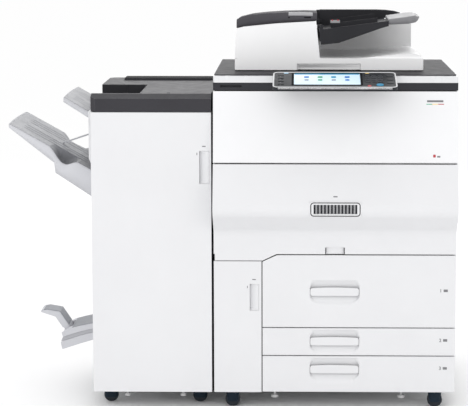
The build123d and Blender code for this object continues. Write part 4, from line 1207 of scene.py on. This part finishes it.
# ---- casters
def hood(name, x, y, top, bottom, half_top, half_bottom, body):
    """A tapering caster housing with rounded corners, closed at both ends."""
    levels = 10
    outline = rounded_outline(2.0, 1.5, 0.42)
    vertices, faces = [], []
    count = len(outline)
    for level in range(levels + 1):
        part = level / levels
        half = between((half_top, half_bottom), part ** 0.8)
        z = between((top, bottom), part)
        vertices += [(x + px * half, y + py * half, z) for px, py in outline]
    for level in range(levels):
        for i in range(count):
            j = (i + 1) % count
            a, b = level * count, (level + 1) * count
            faces.append((a + i, a + j, b + j, b + i))
    faces.append(tuple(range(count)))
    faces.append(tuple(range(levels * count, (levels + 1) * count))[::-1])
    piece = make_piece(name, vertices, faces, CASTER_HOOD, body)
    soften(piece, 1.5, 2)


for side in ("left", "right"):
    low, high = node_mm(f"caster_{side}_fork")
    x, y = (low[0] + high[0]) / 2, (low[1] + high[1]) / 2
    hood(
        f"caster_{side}_hood", x, y, top=55.5, bottom=17.0, half_top=23.5, half_bottom=17.5,
        body=f"{side}_fork",
    )
wheel_front = node_mm("finisher_left_wheels")[0][1]
for index, x in enumerate((-381.0, -97.5)):
    hood(
        f"finisher_hood_{index}", x, wheel_front + 7, top=56.4, bottom=15.0, half_top=25.5,
        half_bottom=20.5, body="root",
    )

# ---- stage, light and camera
floor_mesh = bpy.data.meshes.new("floor")
FLOOR_HALF = 60.0
floor_corners = [(x * FLOOR_HALF, y * FLOOR_HALF, 0) for x, y in ((-1, -1), (1, -1), (1, 1), (-1, 1))]
floor_mesh.from_pydata(floor_corners, [], [(0, 1, 2, 3)])
floor = bpy.data.objects.new("floor", floor_mesh)
SCENE.collection.objects.link(floor)
floor_look, floor_nodes, floor_links = new_material("studio_floor")
floor_shader = floor_nodes["Principled BSDF"]
floor_shader.inputs["Base Color"].default_value = (0.97, 0.97, 0.97, 1)
floor_shader.inputs["Specular IOR Level"].default_value = 0.0
scuffs = noise(floor_nodes, floor_links, FLOOR_CELLS)
floor_links.new(spread(floor_nodes, floor_links, scuffs, 0.55, 0.65), floor_shader.inputs["Roughness"])
floor_mesh.materials.append(floor_look)

SCENE.world = bpy.data.worlds.new("studio")
SCENE.world.use_nodes = True
background = SCENE.world.node_tree.nodes["Background"]
background.inputs["Color"].default_value = (1.0, 1.0, 1.0, 1)
background.inputs["Strength"].default_value = 1.02


def area_light(name, place, target, width, height, watts):
    """A soft box pointed at a target."""
    light = bpy.data.lights.new(name, "AREA")
    light.shape = "RECTANGLE"
    light.size = width
    light.size_y = height
    light.energy = watts
    lamp = bpy.data.objects.new(name, light)
    lamp.location = place
    lamp.rotation_euler = (Vector(target) - Vector(place)).to_track_quat("-Z", "Y").to_euler()
    SCENE.collection.objects.link(lamp)


area_light("key", (-2.6, -4.2, 3.0), (0, 0, 0.6), width=3.0, height=2.4, watts=34)
area_light("fill", (3.4, -3.6, 1.6), (0, 0, 0.6), width=2.6, height=2.6, watts=14)
area_light("back", (0.5, 4.5, 2.4), (0, 0, 0.8), width=3.5, height=2.0, watts=30)

camera_data = bpy.data.cameras.new("camera")
camera_data.sensor_width = 36
camera_data.lens = 138.8
camera_data.shift_x = -0.08
camera_data.shift_y = -0.12
camera = bpy.data.objects.new("camera", camera_data)
EYE = Vector((0.2205, -5.775, 1.523))
# The picture's width at the object, and the place that its middle shows; the shift is aimed out again.
PICTURE_WIDTH = 1.455
MIDDLE_X, MIDDLE_Y, MIDDLE_Z = 0.014, -0.275, 0.6555
AIM = Vector((
    MIDDLE_X - camera_data.shift_x * PICTURE_WIDTH,
    MIDDLE_Y,
    MIDDLE_Z - camera_data.shift_y * PICTURE_WIDTH,
))
camera.location = EYE
camera.rotation_euler = (AIM - EYE).to_track_quat("-Z", "Y").to_euler()
SCENE.collection.objects.link(camera)
SCENE.camera = camera
SCENE.view_settings.view_transform = "Standard"
